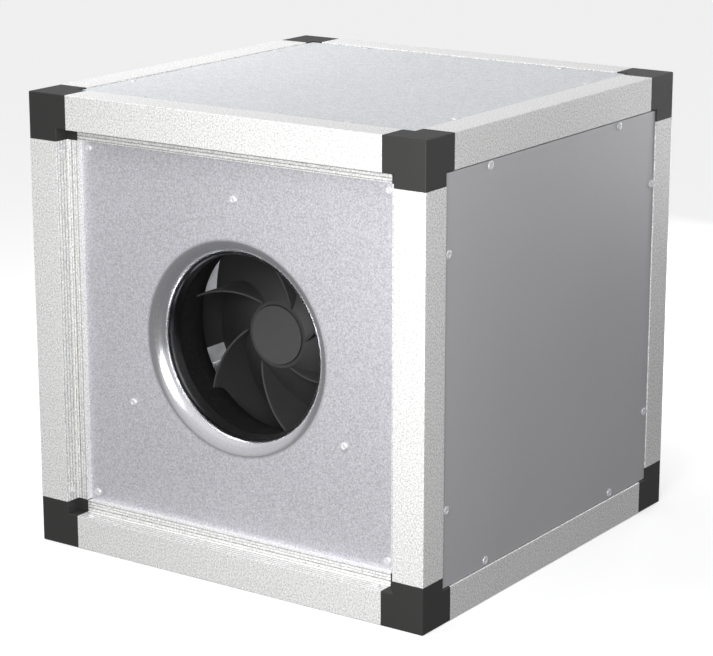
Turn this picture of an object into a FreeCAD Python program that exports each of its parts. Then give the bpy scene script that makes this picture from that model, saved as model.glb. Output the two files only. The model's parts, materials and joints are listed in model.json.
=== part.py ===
"""Insulated box fan for a round-duct or plenum inlet: aluminium frame, flush double-skin panels,
inlet plate with a drawn bellmouth, and a backward-curved impeller on an external-rotor motor.

Frame: +Z up, origin at the middle of the underside. X runs across the inlet, the air moves along +Y.
The inlet face is at y = -casing_depth / 2.  All lengths are in millimetres.
"""
import FreeCAD, Part
import math
import os
from types import SimpleNamespace

import Sketcher

SIZES = {
    # overall
    "casing_width": 500.0,
    "casing_depth": 500.0,
    "casing_height": 500.0,
    # frame profile: a square tube with a lip on each of its two inner sides
    "profile_face": 37.0,
    "profile_wall": 1.6,
    "profile_round": 0.8,
    "lip_reach": 13.0,
    "lip_thickness": 7.5,
    "lip_setback": 11.5,
    "lip_wall": 1.3,
    "lip_groove_width": 1.3,
    "lip_groove_depth": 0.6,
    # three-way corner piece and the screws that hold it in the tubes
    "corner_overhang": 0.5,
    "corner_round": 1.2,
    "spigot_length": 35.0,
    "spigot_clearance": 0.15,
    "corner_screw_head": 7.0,
    "corner_screw_head_height": 2.0,
    "corner_screw_shank": 3.5,
    "corner_screw_grip": 6.0,
    "corner_screw_setback": 11.5,
    # panels
    "panel_gap": 1.0,
    "panel_setback": 1.2,
    "panel_sheet": 0.8,
    "panel_nesting_gap": 0.2,
    "panel_screw_end": 119.0,
    "panel_screw_head": 9.0,
    "panel_screw_shank": 4.2,
    "panel_screw_grip": 5.0,
    "screw_hole_gap": 0.2,
    "gasket_thickness": 2.0,
    "gasket_inset": 0.5,
    # inlet plate with its bellmouth
    "plate_sheet": 1.25,
    "plate_edge_gap": 0.5,
    "throat_radius": 97.0,
    "bell_radius": 20.0,
    "throat_length": 10.5,
    "plate_screw_inset": 9.0,
    "plate_screw_head": 8.5,
    "plate_screw_head_height": 2.2,
    "plate_screw_shank": 4.2,
    "cleat_sheet": 2.0,
    "cleat_screw_margin": 11.0,
    "cleat_height": 26.0,
    "cleat_leg": 10.0,
    # motor support arms
    "arm_clearance": 5.0,
    "arm_sheet": 2.5,
    "arm_width": 24.0,
    "arm_rim_gap": 11.0,
    "arm_foot_length": 22.5,
    "arm_end_margin": 6.0,
    "arm_bolt_inset": 10.0,
    "arm_bolt_head": 8.0,
    "arm_bolt_head_height": 2.0,
    "arm_bolt_shank": 5.0,
    "arm_bolt_proud": 1.0,
    "arm_nut": 8.0,
    "arm_nut_height": 4.0,
    # impeller
    "impeller_radius": 157.5,
    "neck_clearance": 2.25,
    "neck_overlap": 8.0,
    "shroud_sheet": 2.0,
    "shroud_flat": 11.0,
    "neck_length": 36.0,
    "outlet_width": 68.0,
    "hub_sheet": 3.0,
    "hub_front_gap": 0.8,
    "hub_nose_rim": 3.5,
    "hub_nose_setback": 16.0,
    "hub_skirt_gap": 12.0,
    "hub_skirt_length": 28.0,
    "hub_shoulder": 5.0,
    "blade_thickness": 2.5,
    "blade_nose_rise": 3.0,
    "blade_rim_gap": 1.0,
    # external-rotor motor
    "rotor_radius": 45.0,
    "rotor_wall": 4.0,
    "rotor_boss_radius": 31.7,
    "rotor_boss_proud": 2.0,
    "rotor_front_gap": 3.0,
    "rotor_flange_gap": 1.5,
    "rotor_core_wall": 2.5,
    "air_gap": 0.5,
    "stator_end_gap": 3.0,
    "shaft_radius": 6.0,
    "bearing_outer_radius": 16.0,
    "bearing_width": 10.0,
    "bearing_ring_wall": 2.5,
    "bearing_ball_gap": 0.3,
    "bearing_tube_wall": 3.0,
    "winding_end_gap": 7.5,
    "winding_overhang": 9.0,
    "winding_inset": 3.0,
    "slot_width": 5.0,
    "slot_overcut": 1.0,
    "bearing_recess": 2.0,
    "circlip_depth": 0.6,
    "circlip_thickness": 1.2,
    "circlip_radius": 9.0,
    "flange_radius": 58.0,
    "flange_thickness": 8.0,
    "motor_screw_radius": 46.0,
    "motor_screw_shank": 5.0,
    "motor_screw_head": 9.0,
    "motor_screw_head_height": 3.0,
    "impeller_screw_shank": 3.5,
    "impeller_screw_head": 6.5,
    "impeller_screw_head_height": 2.2,
    # terminal box, motor lead and cable entry
    "box_size": 50.0,
    "box_depth": 38.0,
    "box_wall": 2.5,
    "box_lid": 3.0,
    "box_side_gap": 8.0,
    "box_cleat_gap": 3.0,
    "box_post": 8.0,
    "box_screw_shank": 3.0,
    "box_screw_head": 6.0,
    "box_screw_head_height": 2.0,
    "box_screw_grip": 8.0,
    "lead_diameter": 7.0,
    "lead_run_back": 48.0,
    "lead_exit_radius": 30.0,
    "lead_tail": 6.0,
    "gland_pitch": 22.0,
    "gland_radius": 9.0,
    "gland_length": 16.0,
    "gland_step": 2.0,
    "gland_thread_proud": 0.5,
    "terminal_block_length": 29.0,
    "terminal_block_width": 17.0,
    "terminal_block_height": 16.0,
    "terminal_gap": 1.0,
    "terminal_step": 2.0,
    "grommet_bore": 6.0,
    "grommet_body": 10.0,
    "grommet_flange": 14.0,
    "grommet_bevel": 1.0,
    "grommet_bead": 2.0,
    "grommet_height": 110.0,
    "grommet_from_front": 150.0,
}

BLADES = 6
BLADE_SWEEP = 97.0
BLADE_START = 111.0
ARM_ANGLES = (90, 210, 330)
STATOR_SLOTS = 12
BEARING_BALLS = 8
LIP_GROOVES = 4
TERMINAL_WAYS = 5
LEAD_ANGLE = 250
LEAD_BEND_DIAMETERS = 5
SCREW_CROWN_SHARE = 0.6
GLAND_GRIP_SHARE = 0.6
TOUCHING = 0.01
X_AXIS = FreeCAD.Vector(1, 0, 0)
Y_AXIS = FreeCAD.Vector(0, 1, 0)
Z_AXIS = FreeCAD.Vector(0, 0, 1)


class Size:
    """A length in millimetres together with the sheet formula that gives it."""

    def __init__(self, value, formula):
        self.value = value
        self.formula = formula

    def __add__(self, other):
        return combine(self, other, "+", self.value + as_size(other).value)

    def __sub__(self, other):
        return combine(self, other, "-", self.value - as_size(other).value)

    def __mul__(self, other):
        return combine(self, other, "*", self.value * as_size(other).value)

    def __truediv__(self, other):
        return combine(self, other, "/", self.value / as_size(other).value)

    def __neg__(self):
        return as_size(0) - self


def as_size(thing):
    """Plain numbers become sizes with themselves as the formula."""
    if isinstance(thing, Size):
        return thing
    return Size(float(thing), str(thing))


def combine(left, right, sign, value):
    """Join two sizes into one formula."""
    return Size(value, f"({as_size(left).formula} {sign} {as_size(right).formula})")


doc = FreeCAD.newDocument("box_fan")
sheet = doc.addObject("Spreadsheet::Sheet", "Sizes")
for row, (name, number) in enumerate(SIZES.items(), 1):
    sheet.set(f"A{row}", name)
    sheet.set(f"B{row}", str(number))
    sheet.setAlias(f"B{row}", name)
doc.recompute()
size = SimpleNamespace(**{name: Size(number, f"Sizes.{name}") for name, number in SIZES.items()})
nodes = []


# ---------------------------------------------------------------- helpers

def bind(thing, prop, length):
    """Set a property from a size through its sheet formula."""
    thing.setExpression(prop, as_size(length).formula)


def place(thing, position, rotation=None):
    """Put an object at three sizes, turned by a fixed rotation."""
    x, y, z = (as_size(part) for part in position)
    base = FreeCAD.Vector(x.value, y.value, z.value)
    thing.Placement = FreeCAD.Placement(base, rotation or FreeCAD.Rotation())
    for axis, length in zip("xyz", (x, y, z)):
        bind(thing, f"Placement.Base.{axis}", length)


def new_body(label, position=(0, 0, 0), rotation=None, keep=True):
    """A PartDesign body; one that is kept becomes a node of the model."""
    body = doc.addObject("PartDesign::Body", label)
    body.Label = label
    place(body, position, rotation)
    if keep:
        nodes.append(body)
    return body


def arc_between(start, stop, radius, side):
    """The arc under half a turn from start to stop with its centre left or right of the way."""
    chord = stop - start
    middle = (start + stop) * 0.5
    rise = math.sqrt(max(radius * radius - chord.Length * chord.Length / 4, 0))
    left = FreeCAD.Vector(-chord.y, chord.x, 0).normalize()
    centre = middle + left * (rise if side == "left" else -rise)
    first, last = (start, stop) if side == "left" else (stop, start)
    begin = math.atan2(first.y - centre.y, first.x - centre.x)
    end = math.atan2(last.y - centre.y, last.x - centre.x)
    return Part.ArcOfCircle(Part.Circle(centre, Z_AXIS, radius), begin, end)


def pin_point(item, end, x, y):
    """The two constraints that fix one point of a sketch, each with its size."""
    pairs = (("DistanceX", as_size(x)), ("DistanceY", as_size(y)))
    return [(Sketcher.Constraint(kind, -1, 1, item, end, length.value), length) for kind, length in pairs]


def fix_radius(item, radius):
    """The constraint that fixes the radius of a circle or an arc, with its size."""
    return [(Sketcher.Constraint("Radius", item, as_size(radius).value), radius)]


def constrain(sketch, pairs):
    """Add constraints, and bind those that come with a size to its formula."""
    numbers = sketch.addConstraint([constraint for constraint, _ in pairs])
    for number, (_, length) in zip(numbers, pairs):
        if length is not None:
            bind(sketch, f"Constraints[{number}]", length)


def draw_loop(sketch, points):
    """A closed outline; a point is (x, y), or (x, y, radius, side) where an arc starts."""
    count = len(points)
    corners = [FreeCAD.Vector(as_size(p[0]).value, as_size(p[1]).value, 0) for p in points]
    items = []
    for index, point in enumerate(points):
        start = corners[index]
        stop = corners[(index + 1) % count]
        ends = (1, 2)
        shape = Part.LineSegment(start, stop)
        if len(point) == 4:
            shape = arc_between(start, stop, as_size(point[2]).value, point[3])
            ends = (1, 2) if point[3] == "left" else (2, 1)
        items.append((sketch.addGeometry(shape, False), ends))
    pairs = []
    for index, ((item, ends), point) in enumerate(zip(items, points)):
        following, following_ends = items[(index + 1) % count]
        joined = Sketcher.Constraint("Coincident", item, ends[1], following, following_ends[0])
        pairs.append((joined, None))
        pairs += pin_point(item, ends[0], point[0], point[1])
        if len(point) == 4:
            pairs += fix_radius(item, point[2])
    constrain(sketch, pairs)


def draw_circle(sketch, x, y, radius):
    """A circle with its centre at two sizes."""
    centre = FreeCAD.Vector(as_size(x).value, as_size(y).value, 0)
    item = sketch.addGeometry(Part.Circle(centre, Z_AXIS, as_size(radius).value), False)
    constrain(sketch, pin_point(item, 3, x, y) + fix_radius(item, radius))


def new_sketch(body, role, loops=(), circles=(), offset=0):
    """A sketch on one of the body's own origin planes, moved along its normal by the offset."""
    plane = next(item for item in body.Origin.OriginFeatures if item.Role == role)
    sketch = body.newObject("Sketcher::SketchObject", f"{body.Name}_outline")
    sketch.AttachmentSupport = [(plane, "")]
    sketch.MapMode = "FlatFace"
    bind(sketch, "AttachmentOffset.Base.z", offset)
    for loop in loops:
        draw_loop(sketch, loop)
    for circle in circles:
        draw_circle(sketch, *circle)
    return sketch


def add_feature(body, kind, sketch, **values):
    """A PartDesign feature made from a sketch."""
    feature = body.newObject(f"PartDesign::{kind}", f"{body.Name}_{kind.lower()}")
    feature.Profile = sketch
    for prop, value in values.items():
        setattr(feature, prop, value)
    return feature


def pad(body, sketch, length, reverse=False):
    """Extrude a sketch along its normal, or against it."""
    feature = add_feature(body, "Pad", sketch, Reversed=reverse)
    bind(feature, "Length", length)
    return feature


def pad_both_ways(body, sketch, length):
    """Extrude a sketch half the length to each side."""
    feature = add_feature(body, "Pad", sketch, SideType="Symmetric")
    bind(feature, "Length", length)
    return feature


def pocket(body, sketch, length, reverse=False):
    """Cut a sketch against its normal, or along it."""
    feature = add_feature(body, "Pocket", sketch, Reversed=reverse)
    bind(feature, "Length", length)
    return feature


def drill(body, axis, start, length, way, spots):
    """Round holes along one of the body's axes; a spot is the two other coordinates and the radius."""
    role, normal = (("YZ_Plane", 1), ("XZ_Plane", -1), ("XY_Plane", 1))[axis]
    sketch = new_sketch(body, role, (), spots, start * normal)
    return pocket(body, sketch, length, reverse=(way == normal))


def turn(body, points):
    """Revolve an outline given as (radius, depth) about the body's Y axis."""
    sketch = new_sketch(body, "XY_Plane", [points])
    return add_feature(body, "Revolution", sketch, ReferenceAxis=(sketch, ["V_Axis"]), Angle=360)


def turn_upright(body, points):
    """Revolve an outline given as (radius, height) about the body's Z axis."""
    sketch = new_sketch(body, "XZ_Plane", [points])
    return add_feature(body, "Revolution", sketch, ReferenceAxis=(sketch, ["V_Axis"]), Angle=360)


def rectangle(x0, y0, x1, y1):
    """The four corners of an upright rectangle."""
    return [(x0, y0), (x1, y0), (x1, y1), (x0, y1)]


def centred(half_x, half_y):
    """A rectangle about the sketch's origin."""
    return rectangle(-half_x, -half_y, half_x, half_y)


def cube(body, corner, lengths):
    """Add a box to a body from its lowest corner and its three lengths."""
    block = body.newObject("PartDesign::AdditiveBox", f"{body.Name}_box")
    for prop, length in zip(("Length", "Width", "Height"), lengths):
        bind(block, prop, length)
    for axis, length in zip("xyz", corner):
        bind(block, f"Placement.Base.{axis}", length)
    return block


def round_edges(body, feature, radius, wanted):
    """Fillet the edges of a feature whose middle and direction are wanted."""
    doc.recompute()
    names = []
    for number, edge in enumerate(feature.Shape.Edges, 1):
        if wanted(edge):
            names.append(f"Edge{number}")
    fillet = body.newObject("PartDesign::Fillet", f"{body.Name}_fillet")
    fillet.Base = (feature, names)
    bind(fillet, "Radius", radius)
    return fillet


def group(label, master, places, position=(0, 0, 0), rotation=None):
    """One node that holds separate copies of a master body."""
    links = []
    for spot, angle in places:
        link = doc.addObject("App::Link", f"{label}_copy")
        link.LinkedObject = master
        place(link, spot, angle)
        links.append(link)
    node = doc.addObject("Part::Compound", label)
    node.Label = label
    node.Links = links
    place(node, position, rotation)
    nodes.append(node)
    return node


def fastener(label, head_radius, head_height, shank_radius, shank_length):
    """A pan-head screw with its seat at the origin, its head towards +Z and its shank towards -Z."""
    body = new_body(label, keep=False)
    crown = head_radius * SCREW_CROWN_SHARE
    turn_upright(body, [
        (0, -shank_length),
        (shank_radius, -shank_length),
        (shank_radius, 0),
        (head_radius, 0),
        (head_radius, head_height / 2),
        (crown, head_height),
        (0, head_height),
    ])
    return body


def column_rotation(across, along, up):
    """The rotation that takes the X, Y and Z axes to three given directions."""
    matrix = FreeCAD.Matrix(
        across.x, along.x, up.x, 0,
        across.y, along.y, up.y, 0,
        across.z, along.z, up.z, 0,
        0, 0, 0, 1)
    return FreeCAD.Rotation(matrix)


def spin(angle):
    """A turn about the fan's axis, counter-clockwise as seen from the inlet, in degrees."""
    return FreeCAD.Rotation(Y_AXIS, -angle)


def around(radius, depth, angle):
    """A point at a radius and a depth in the fan's frame, with the turn that goes with it."""
    turn_by = math.radians(angle)
    return (radius * round(math.cos(turn_by), 9), as_size(depth), radius * round(math.sin(turn_by), 9))


# ---------------------------------------------------------------- values shared by several pieces

half = (size.casing_width / 2, size.casing_depth / 2, size.casing_height / 2)
face = size.profile_face
corner_leg = face + size.lip_reach + size.corner_overhang
lip_end = face + size.lip_reach
lip_back = face - size.lip_setback
rebate = lip_back - size.lip_thickness
screw_line = face + size.lip_reach / 2
panel_thickness = rebate - size.panel_setback - size.gasket_thickness
cleat_length = size.lip_reach + size.plate_screw_inset + size.cleat_screw_margin
cleat_screw_height = (size.cleat_leg + size.cleat_sheet) / 2
fan_origin = (0, -half[1], half[2])

plate_face = lip_back
plate_back = plate_face + size.plate_sheet
bell_centre_radius = size.throat_radius + size.bell_radius
throat_start = plate_face + size.bell_radius
throat_end = throat_start + size.throat_length
neck_radius = size.throat_radius + size.plate_sheet + size.neck_clearance
neck_start = throat_end - size.neck_overlap
neck_end = neck_start + size.neck_length
shroud_flare = size.impeller_radius - neck_radius - size.shroud_flat
shroud_rim = neck_end + shroud_flare
hub_rim = shroud_rim + size.outlet_width
hub_front = neck_end + size.hub_nose_setback
hub_hole = size.rotor_boss_radius + size.hub_front_gap
nose_radius = hub_hole + size.hub_nose_rim
hub_slope = (hub_rim - hub_front) / (size.impeller_radius - nose_radius)
skirt_inside = size.rotor_radius + size.hub_skirt_gap
skirt_radius = skirt_inside + size.hub_sheet
impeller_screw_radius = (size.rotor_radius + skirt_inside) / 2
skirt_front = hub_front + (skirt_radius - nose_radius) * hub_slope + size.hub_sheet
shoulder_back = skirt_front + size.hub_skirt_length
shoulder_front = shoulder_back - size.hub_shoulder
nose_to_rotor = (size.rotor_radius - nose_radius) * hub_slope
rotor_front = hub_front + nose_to_rotor + size.hub_sheet + size.rotor_front_gap
flange_back = hub_rim + size.hub_sheet + size.arm_clearance
flange_front = flange_back - size.flange_thickness
rotor_rear = flange_front - size.stator_end_gap
rotor_bore = size.rotor_radius - size.rotor_wall
core_bore = rotor_bore - size.rotor_core_wall
stator_radius = core_bore - size.air_gap
tube_radius = size.bearing_outer_radius + size.bearing_tube_wall
boss_front = hub_front - size.rotor_boss_proud
tube_front = rotor_front + size.rotor_wall + size.stator_end_gap
stator_front = tube_front + size.winding_end_gap + size.winding_overhang
stator_rear = flange_front - size.winding_end_gap - size.winding_overhang
stator_stack = stator_rear - stator_front
front_bearing = tube_front + size.bearing_recess
rear_bearing = flange_back - size.bearing_width - size.bearing_recess
arm_inner = size.impeller_radius + size.arm_rim_gap
arm_bolt_circle = arm_inner - size.arm_bolt_inset


# ---------------------------------------------------------------- casing frame

def lip_outline(first, second):
    """The points of one lip's grooved front, from the tube outwards; `first` and `second` set the order."""
    pitch = size.lip_reach / (LIP_GROOVES + 1)
    points = []
    for number in range(1, LIP_GROOVES + 1):
        middle = face + pitch * number
        near = middle - size.lip_groove_width / 2
        far = middle + size.lip_groove_width / 2
        floor = rebate + size.lip_groove_depth
        points += [(near, rebate), (near, floor), (far, floor), (far, rebate)]
    return [(point[first], point[second]) for point in points]


def profile_outline():
    """The tube and its two lips, with the casing's outer edge at the origin."""
    along_x = [(face, 0), (face, rebate)] + lip_outline(0, 1)
    along_x += [(lip_end, rebate), (lip_end, lip_back), (face, lip_back)]
    along_y = [(point[1], point[0]) for point in reversed(along_x)]
    return [(0, 0)] + along_x + [(face, face)] + along_y


def profile_holes():
    """The tube's bore and the hollow in each lip."""
    wall = size.profile_wall
    thin = size.lip_wall
    inner = face - wall
    lip_front = rebate + thin
    hollow = (inner + wall + thin, lip_front, lip_end - thin, lip_back - thin)
    return [
        rectangle(wall, wall, inner, inner),
        rectangle(hollow[0], hollow[1], hollow[2], hollow[3]),
        rectangle(hollow[1], hollow[0], hollow[3], hollow[2]),
    ]


def side_word(axis, sign):
    """The name of the side that a sign along an axis means."""
    return (("left", "right"), ("front", "rear"), ("bottom", "top"))[axis][sign > 0]


def from_middle(axis, length):
    """Centre-based coordinates to the model's frame, whose origin is on the underside."""
    return length + half[2] if axis == 2 else length


def profile_frame(axis, signs):
    """Where the profile along `axis` between two given sides starts, and how it is turned."""
    second = (axis + 1) % 3
    third = (axis + 2) % 3
    units = (X_AXIS, Y_AXIS, Z_AXIS)
    way = signs[second] * signs[third]
    spot = [None, None, None]
    spot[axis] = from_middle(axis, (half[axis] - corner_leg) * -way)
    spot[second] = from_middle(second, half[second] * signs[second])
    spot[third] = from_middle(third, half[third] * signs[third])
    turned = column_rotation(units[second] * -signs[second], units[third] * -signs[third], units[axis] * way)
    return spot, turned


def profile(axis, signs):
    """One frame profile, from corner piece to corner piece."""
    words = [side_word(index, signs[index]) for index in (1, 0, 2) if index != axis]
    spot, turned = profile_frame(axis, signs)
    label = "profile_" + "_".join(words)
    body = new_body(label, spot, turned)
    outline = new_sketch(body, "XY_Plane", [profile_outline()] + profile_holes())
    bar = pad(body, outline, (half[axis] - corner_leg) * 2)

    def outer_edge(edge):
        middle = edge.CenterOfMass
        on_outside = min(middle.x, middle.y) < TOUCHING
        far = max(middle.x, middle.y)
        at_corner = far < TOUCHING or abs(far - face.value) < TOUCHING
        return on_outside and at_corner and abs(edge.tangentAt(edge.FirstParameter).z) > TOUCHING

    round_edges(body, bar, size.profile_round, outer_edge)
    drill_profile(body, axis, signs)


def drill_profile(body, axis, signs):
    """The holes for the corner screws, the panel screws and the cleats' screws."""
    bar_length = (half[axis] - corner_leg) * 2
    seat, edge, depth = corner_screw_axes(axis)
    wall_axis = 0 if seat == (axis + 1) % 3 else 1
    ends = (size.corner_screw_setback, bar_length - size.corner_screw_setback)
    tight = size.corner_screw_shank / 2
    drill(body, wall_axis, face, size.profile_wall, -1, [(depth, end, tight) for end in ends])
    along = size.panel_screw_end - corner_leg
    spots = [(screw_line, end, size.panel_screw_shank / 2) for end in (along, bar_length - along)]
    for lip_axis in (0, 1):
        world_axis = (axis + 1 + lip_axis) % 3
        if world_axis != 1:
            drill(body, lip_axis, rebate, size.lip_thickness, 1, spots)
    if axis == 2 and signs[1] < 0:
        up = lip_end + size.plate_screw_inset - corner_leg
        spots = [(plate_back + cleat_screw_height, end, tight) for end in (up, bar_length - up)]
        drill(body, 0, face, size.profile_wall, -1, spots)


def corner_screw_axes(axis):
    """The side a profile's corner screws sit on, the side their depth is measured from, and the depth."""
    if axis == 1:
        return 0, 2, (lip_back + face) / 2
    return 2 - axis, 1, rebate / 2


def corner(signs):
    """A three-way corner piece: three legs, a lip square in each face, three spigots in the tubes."""
    words = [side_word(axis, signs[axis]) for axis in (1, 0, 2)]
    inward = [unit * -sign for unit, sign in zip((X_AXIS, Y_AXIS, Z_AXIS), signs)]
    if signs[0] * signs[1] * signs[2] > 0:
        inward[0], inward[1] = inward[1], inward[0]
    spot = [from_middle(axis, half[axis] * signs[axis]) for axis in range(3)]
    body = new_body("corner_" + "_".join(words), spot, column_rotation(*inward))
    plug = face - (size.profile_wall + size.spigot_clearance) * 2
    plug_start = size.profile_wall + size.spigot_clearance
    for axis in range(3):
        leg = [face, face, face]
        leg[axis] = corner_leg
        cube(body, (0, 0, 0), leg)
    for axis in range(3):
        low = [face, face, face]
        low[axis] = rebate
        lengths = [corner_leg - face] * 3
        lengths[axis] = size.lip_thickness
        shell = cube(body, low, lengths)

    def outer_edge(edge):
        middle = edge.CenterOfMass
        near = sum(1 for part in (middle.x, middle.y, middle.z) if part < TOUCHING)
        far = sum(1 for part in (middle.x, middle.y, middle.z) if abs(part - face.value) < TOUCHING)
        return near == 2 or (near == 1 and far == 1)

    round_edges(body, shell, size.corner_round, outer_edge)
    for axis in range(3):
        low = [plug_start] * 3
        low[axis] = corner_leg
        lengths = [plug] * 3
        lengths[axis] = size.spigot_length
        cube(body, low, lengths)
    swapped = signs[0] * signs[1] * signs[2] > 0
    local = (1, 0, 2) if swapped else (0, 1, 2)
    deep = size.corner_screw_grip - size.profile_wall
    for axis in range(3):
        seat, edge, depth = corner_screw_axes(axis)
        spot = [None, None, None]
        spot[local[axis]] = corner_leg + size.corner_screw_setback
        spot[local[edge]] = depth
        spot.pop(local[seat])
        drill(body, local[seat], face - size.profile_wall, deep, -1, [(*spot, size.corner_screw_shank / 2)])


def corner_screws():
    """The screws through each tube's wall into the corner pieces' spigots, near both ends of each profile."""
    screw = fastener(
        "corner_screw", size.corner_screw_head / 2, size.corner_screw_head_height,
        size.corner_screw_shank / 2, size.corner_screw_grip)
    places = []
    for axis in range(3):
        for first in (-1, 1):
            for second in (-1, 1):
                signs = [0, 0, 0]
                signs[(axis + 1) % 3] = first
                signs[(axis + 2) % 3] = second
                for end in (-1, 1):
                    places.append(corner_screw_place(axis, signs, end))
    group("corner_screws", screw, places)


def corner_screw_place(axis, signs, end):
    """On a rebate wall beside an opening, or inside the casing on the four profiles along the air's way."""
    inner = (half[axis] - corner_leg - size.corner_screw_setback) * end
    spot = [None, None, None]
    spot[axis] = from_middle(axis, inner)
    seat, edge, depth = corner_screw_axes(axis)
    spot[seat] = from_middle(seat, (half[seat] - face) * signs[seat])
    spot[edge] = from_middle(edge, (half[edge] - depth) * signs[edge])
    unit = (X_AXIS, Y_AXIS, Z_AXIS)[seat] * -signs[seat]
    return spot, FreeCAD.Rotation(Z_AXIS, unit)


# ---------------------------------------------------------------- panels

PANEL_TURNS = {
    "right": (0, 1, column_rotation(Y_AXIS, Z_AXIS * -1, X_AXIS * -1)),
    "left": (0, -1, column_rotation(Y_AXIS, Z_AXIS, X_AXIS)),
    "top": (2, 1, column_rotation(Y_AXIS, X_AXIS, Z_AXIS * -1)),
    "bottom": (2, -1, column_rotation(X_AXIS, Y_AXIS, Z_AXIS)),
}


def panel_frame(side):
    """The middle of a panel's opening on the casing's face, the turn, and the opening's two half lengths."""
    axis, sign, turned = PANEL_TURNS[side]
    spot = [as_size(0), as_size(0), half[2]]
    spot[axis] = from_middle(axis, half[axis] * sign)
    halves = []
    for unit in (X_AXIS, Y_AXIS):
        world = turned.multVec(unit)
        index = max(range(3), key=lambda number: abs(world[number]))
        halves.append(half[index])
    return spot, turned, halves


def panel_screw_spots(halves):
    """Eight spots on the middle of the lips, two along each side of the opening."""
    along = [length - size.panel_screw_end for length in halves]
    across = [length - screw_line for length in halves]
    spots = []
    for one in (-1, 1):
        for two in (-1, 1):
            spots.append((along[0] * one, across[1] * two))
            spots.append((across[0] * one, along[1] * two))
    return spots


def entry_spot(side):
    """The cable entry's place in the left panel's own sketch, or none in the other panels."""
    if side != "left":
        return []
    return [(size.grommet_from_front - half[1], size.grommet_height - half[2])]


def panel_circles(side, halves, entry_radius):
    """The holes through one layer of a panel."""
    radius = size.panel_screw_shank / 2 + size.screw_hole_gap
    circles = [(x, y, radius) for x, y in panel_screw_spots(halves)]
    circles += [(x, y, entry_radius) for x, y in entry_spot(side)]
    return circles


def joined_node(label, parts):
    """One node that holds several bodies as separate solids."""
    node = doc.addObject("Part::Compound", label)
    node.Label = label
    node.Links = parts
    nodes.append(node)


def panel(side):
    """One panel's outer tray, which is a node, and its wool slab and inner sheet, which are returned."""
    spot, turned, halves = panel_frame(side)
    outside = [length - face - size.panel_gap for length in halves]
    nested = [length - size.panel_sheet - size.panel_nesting_gap for length in outside]
    inside = [length - size.panel_sheet for length in outside]
    entry = size.grommet_body
    circles = panel_circles(side, halves, entry)
    tray = new_body(f"panel_{side}_outer_skin", spot, turned)
    front = new_sketch(tray, "XY_Plane", [centred(*outside)], circles, size.panel_setback)
    pad(tray, front, size.panel_sheet)
    rim = new_sketch(tray, "XY_Plane", [centred(*outside), centred(*inside)], (), size.panel_setback)
    pad(tray, rim, panel_thickness)
    wool_front = size.panel_setback + size.panel_sheet
    wool = new_body(f"wool_{side}", spot, turned, keep=False)
    slab = new_sketch(wool, "XY_Plane", [centred(*nested)], circles, wool_front)
    pad(wool, slab, panel_thickness - size.panel_sheet * 2)
    inner = new_body(f"inner_skin_{side}", spot, turned, keep=False)
    inner_front = size.panel_setback + panel_thickness - size.panel_sheet
    pad(inner, new_sketch(inner, "XY_Plane", [centred(*nested)], circles, inner_front), size.panel_sheet)
    return wool, inner


def panel_gaskets():
    """A flat seal on the lips behind each panel, in one node."""
    radius = size.panel_screw_shank / 2 + size.screw_hole_gap
    parts = []
    for side in PANEL_TURNS:
        spot, turned, halves = panel_frame(side)
        outer = [length - face - size.gasket_inset for length in halves]
        inner = [length - lip_end for length in halves]
        seal = new_body(f"gasket_{side}", spot, turned, keep=False)
        circles = [(x, y, radius) for x, y in panel_screw_spots(halves)]
        loops = [centred(*outer), centred(*inner)]
        pad(seal, new_sketch(seal, "XY_Plane", loops, circles, rebate - size.gasket_thickness),
            size.gasket_thickness)
        parts.append(seal)
    joined_node("panel_gaskets", parts)


def panel_screws():
    """All the panel screws, their low heads level with the casing's faces."""
    length = panel_thickness + size.gasket_thickness + size.panel_screw_grip
    screw = fastener(
        "panel_screw", size.panel_screw_head / 2, size.panel_setback,
        size.panel_screw_shank / 2, length)
    places = []
    for side in PANEL_TURNS:
        spot, turned, halves = panel_frame(side)
        for x, y in panel_screw_spots(halves):
            across = turned.multVec(X_AXIS)
            along = turned.multVec(Y_AXIS)
            inward = turned.multVec(Z_AXIS)
            seat = []
            for index in range(3):
                moved = as_size(spot[index])
                moved += x * round(across[index]) + y * round(along[index])
                moved += size.panel_setback * round(inward[index])
                seat.append(moved)
            places.append((seat, FreeCAD.Rotation(Z_AXIS, inward * -1)))
    group("panel_screws", screw, places)


# ---------------------------------------------------------------- inlet plate

def inlet_plate():
    """Square sheet behind the front lips with a bellmouth drawn inwards from its middle."""
    body = new_body("inlet_plate", fan_origin)
    half_x = half[0] - face - size.plate_edge_gap
    half_z = half[2] - face - size.plate_edge_gap
    circles = [(0, 0, bell_centre_radius)]
    for x, z in plate_screw_spots():
        circles.append((x, z, size.plate_screw_shank / 2 + size.screw_hole_gap))
    for angle in ARM_ANGLES:
        x, _, z = around(arm_bolt_circle, 0, angle)
        circles.append((x, z, size.arm_bolt_shank / 2 + size.screw_hole_gap))
    sketch = new_sketch(body, "XZ_Plane", [centred(half_x, half_z)], circles, -plate_face)
    pad(body, sketch, size.plate_sheet, reverse=True)
    turn(body, [
        (size.throat_radius, throat_end),
        (size.throat_radius, throat_start, size.bell_radius, "right"),
        (bell_centre_radius, plate_face),
        (bell_centre_radius, plate_back, size.bell_radius - size.plate_sheet, "left"),
        (size.throat_radius + size.plate_sheet, throat_start),
        (size.throat_radius + size.plate_sheet, throat_end),
    ])


def plate_screw_spots():
    """The corners where the plate is screwed to its cleats."""
    x = half[0] - lip_end - size.plate_screw_inset
    z = half[2] - lip_end - size.plate_screw_inset
    return [(x * i, z * k) for i in (-1, 1) for k in (-1, 1)]


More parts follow.
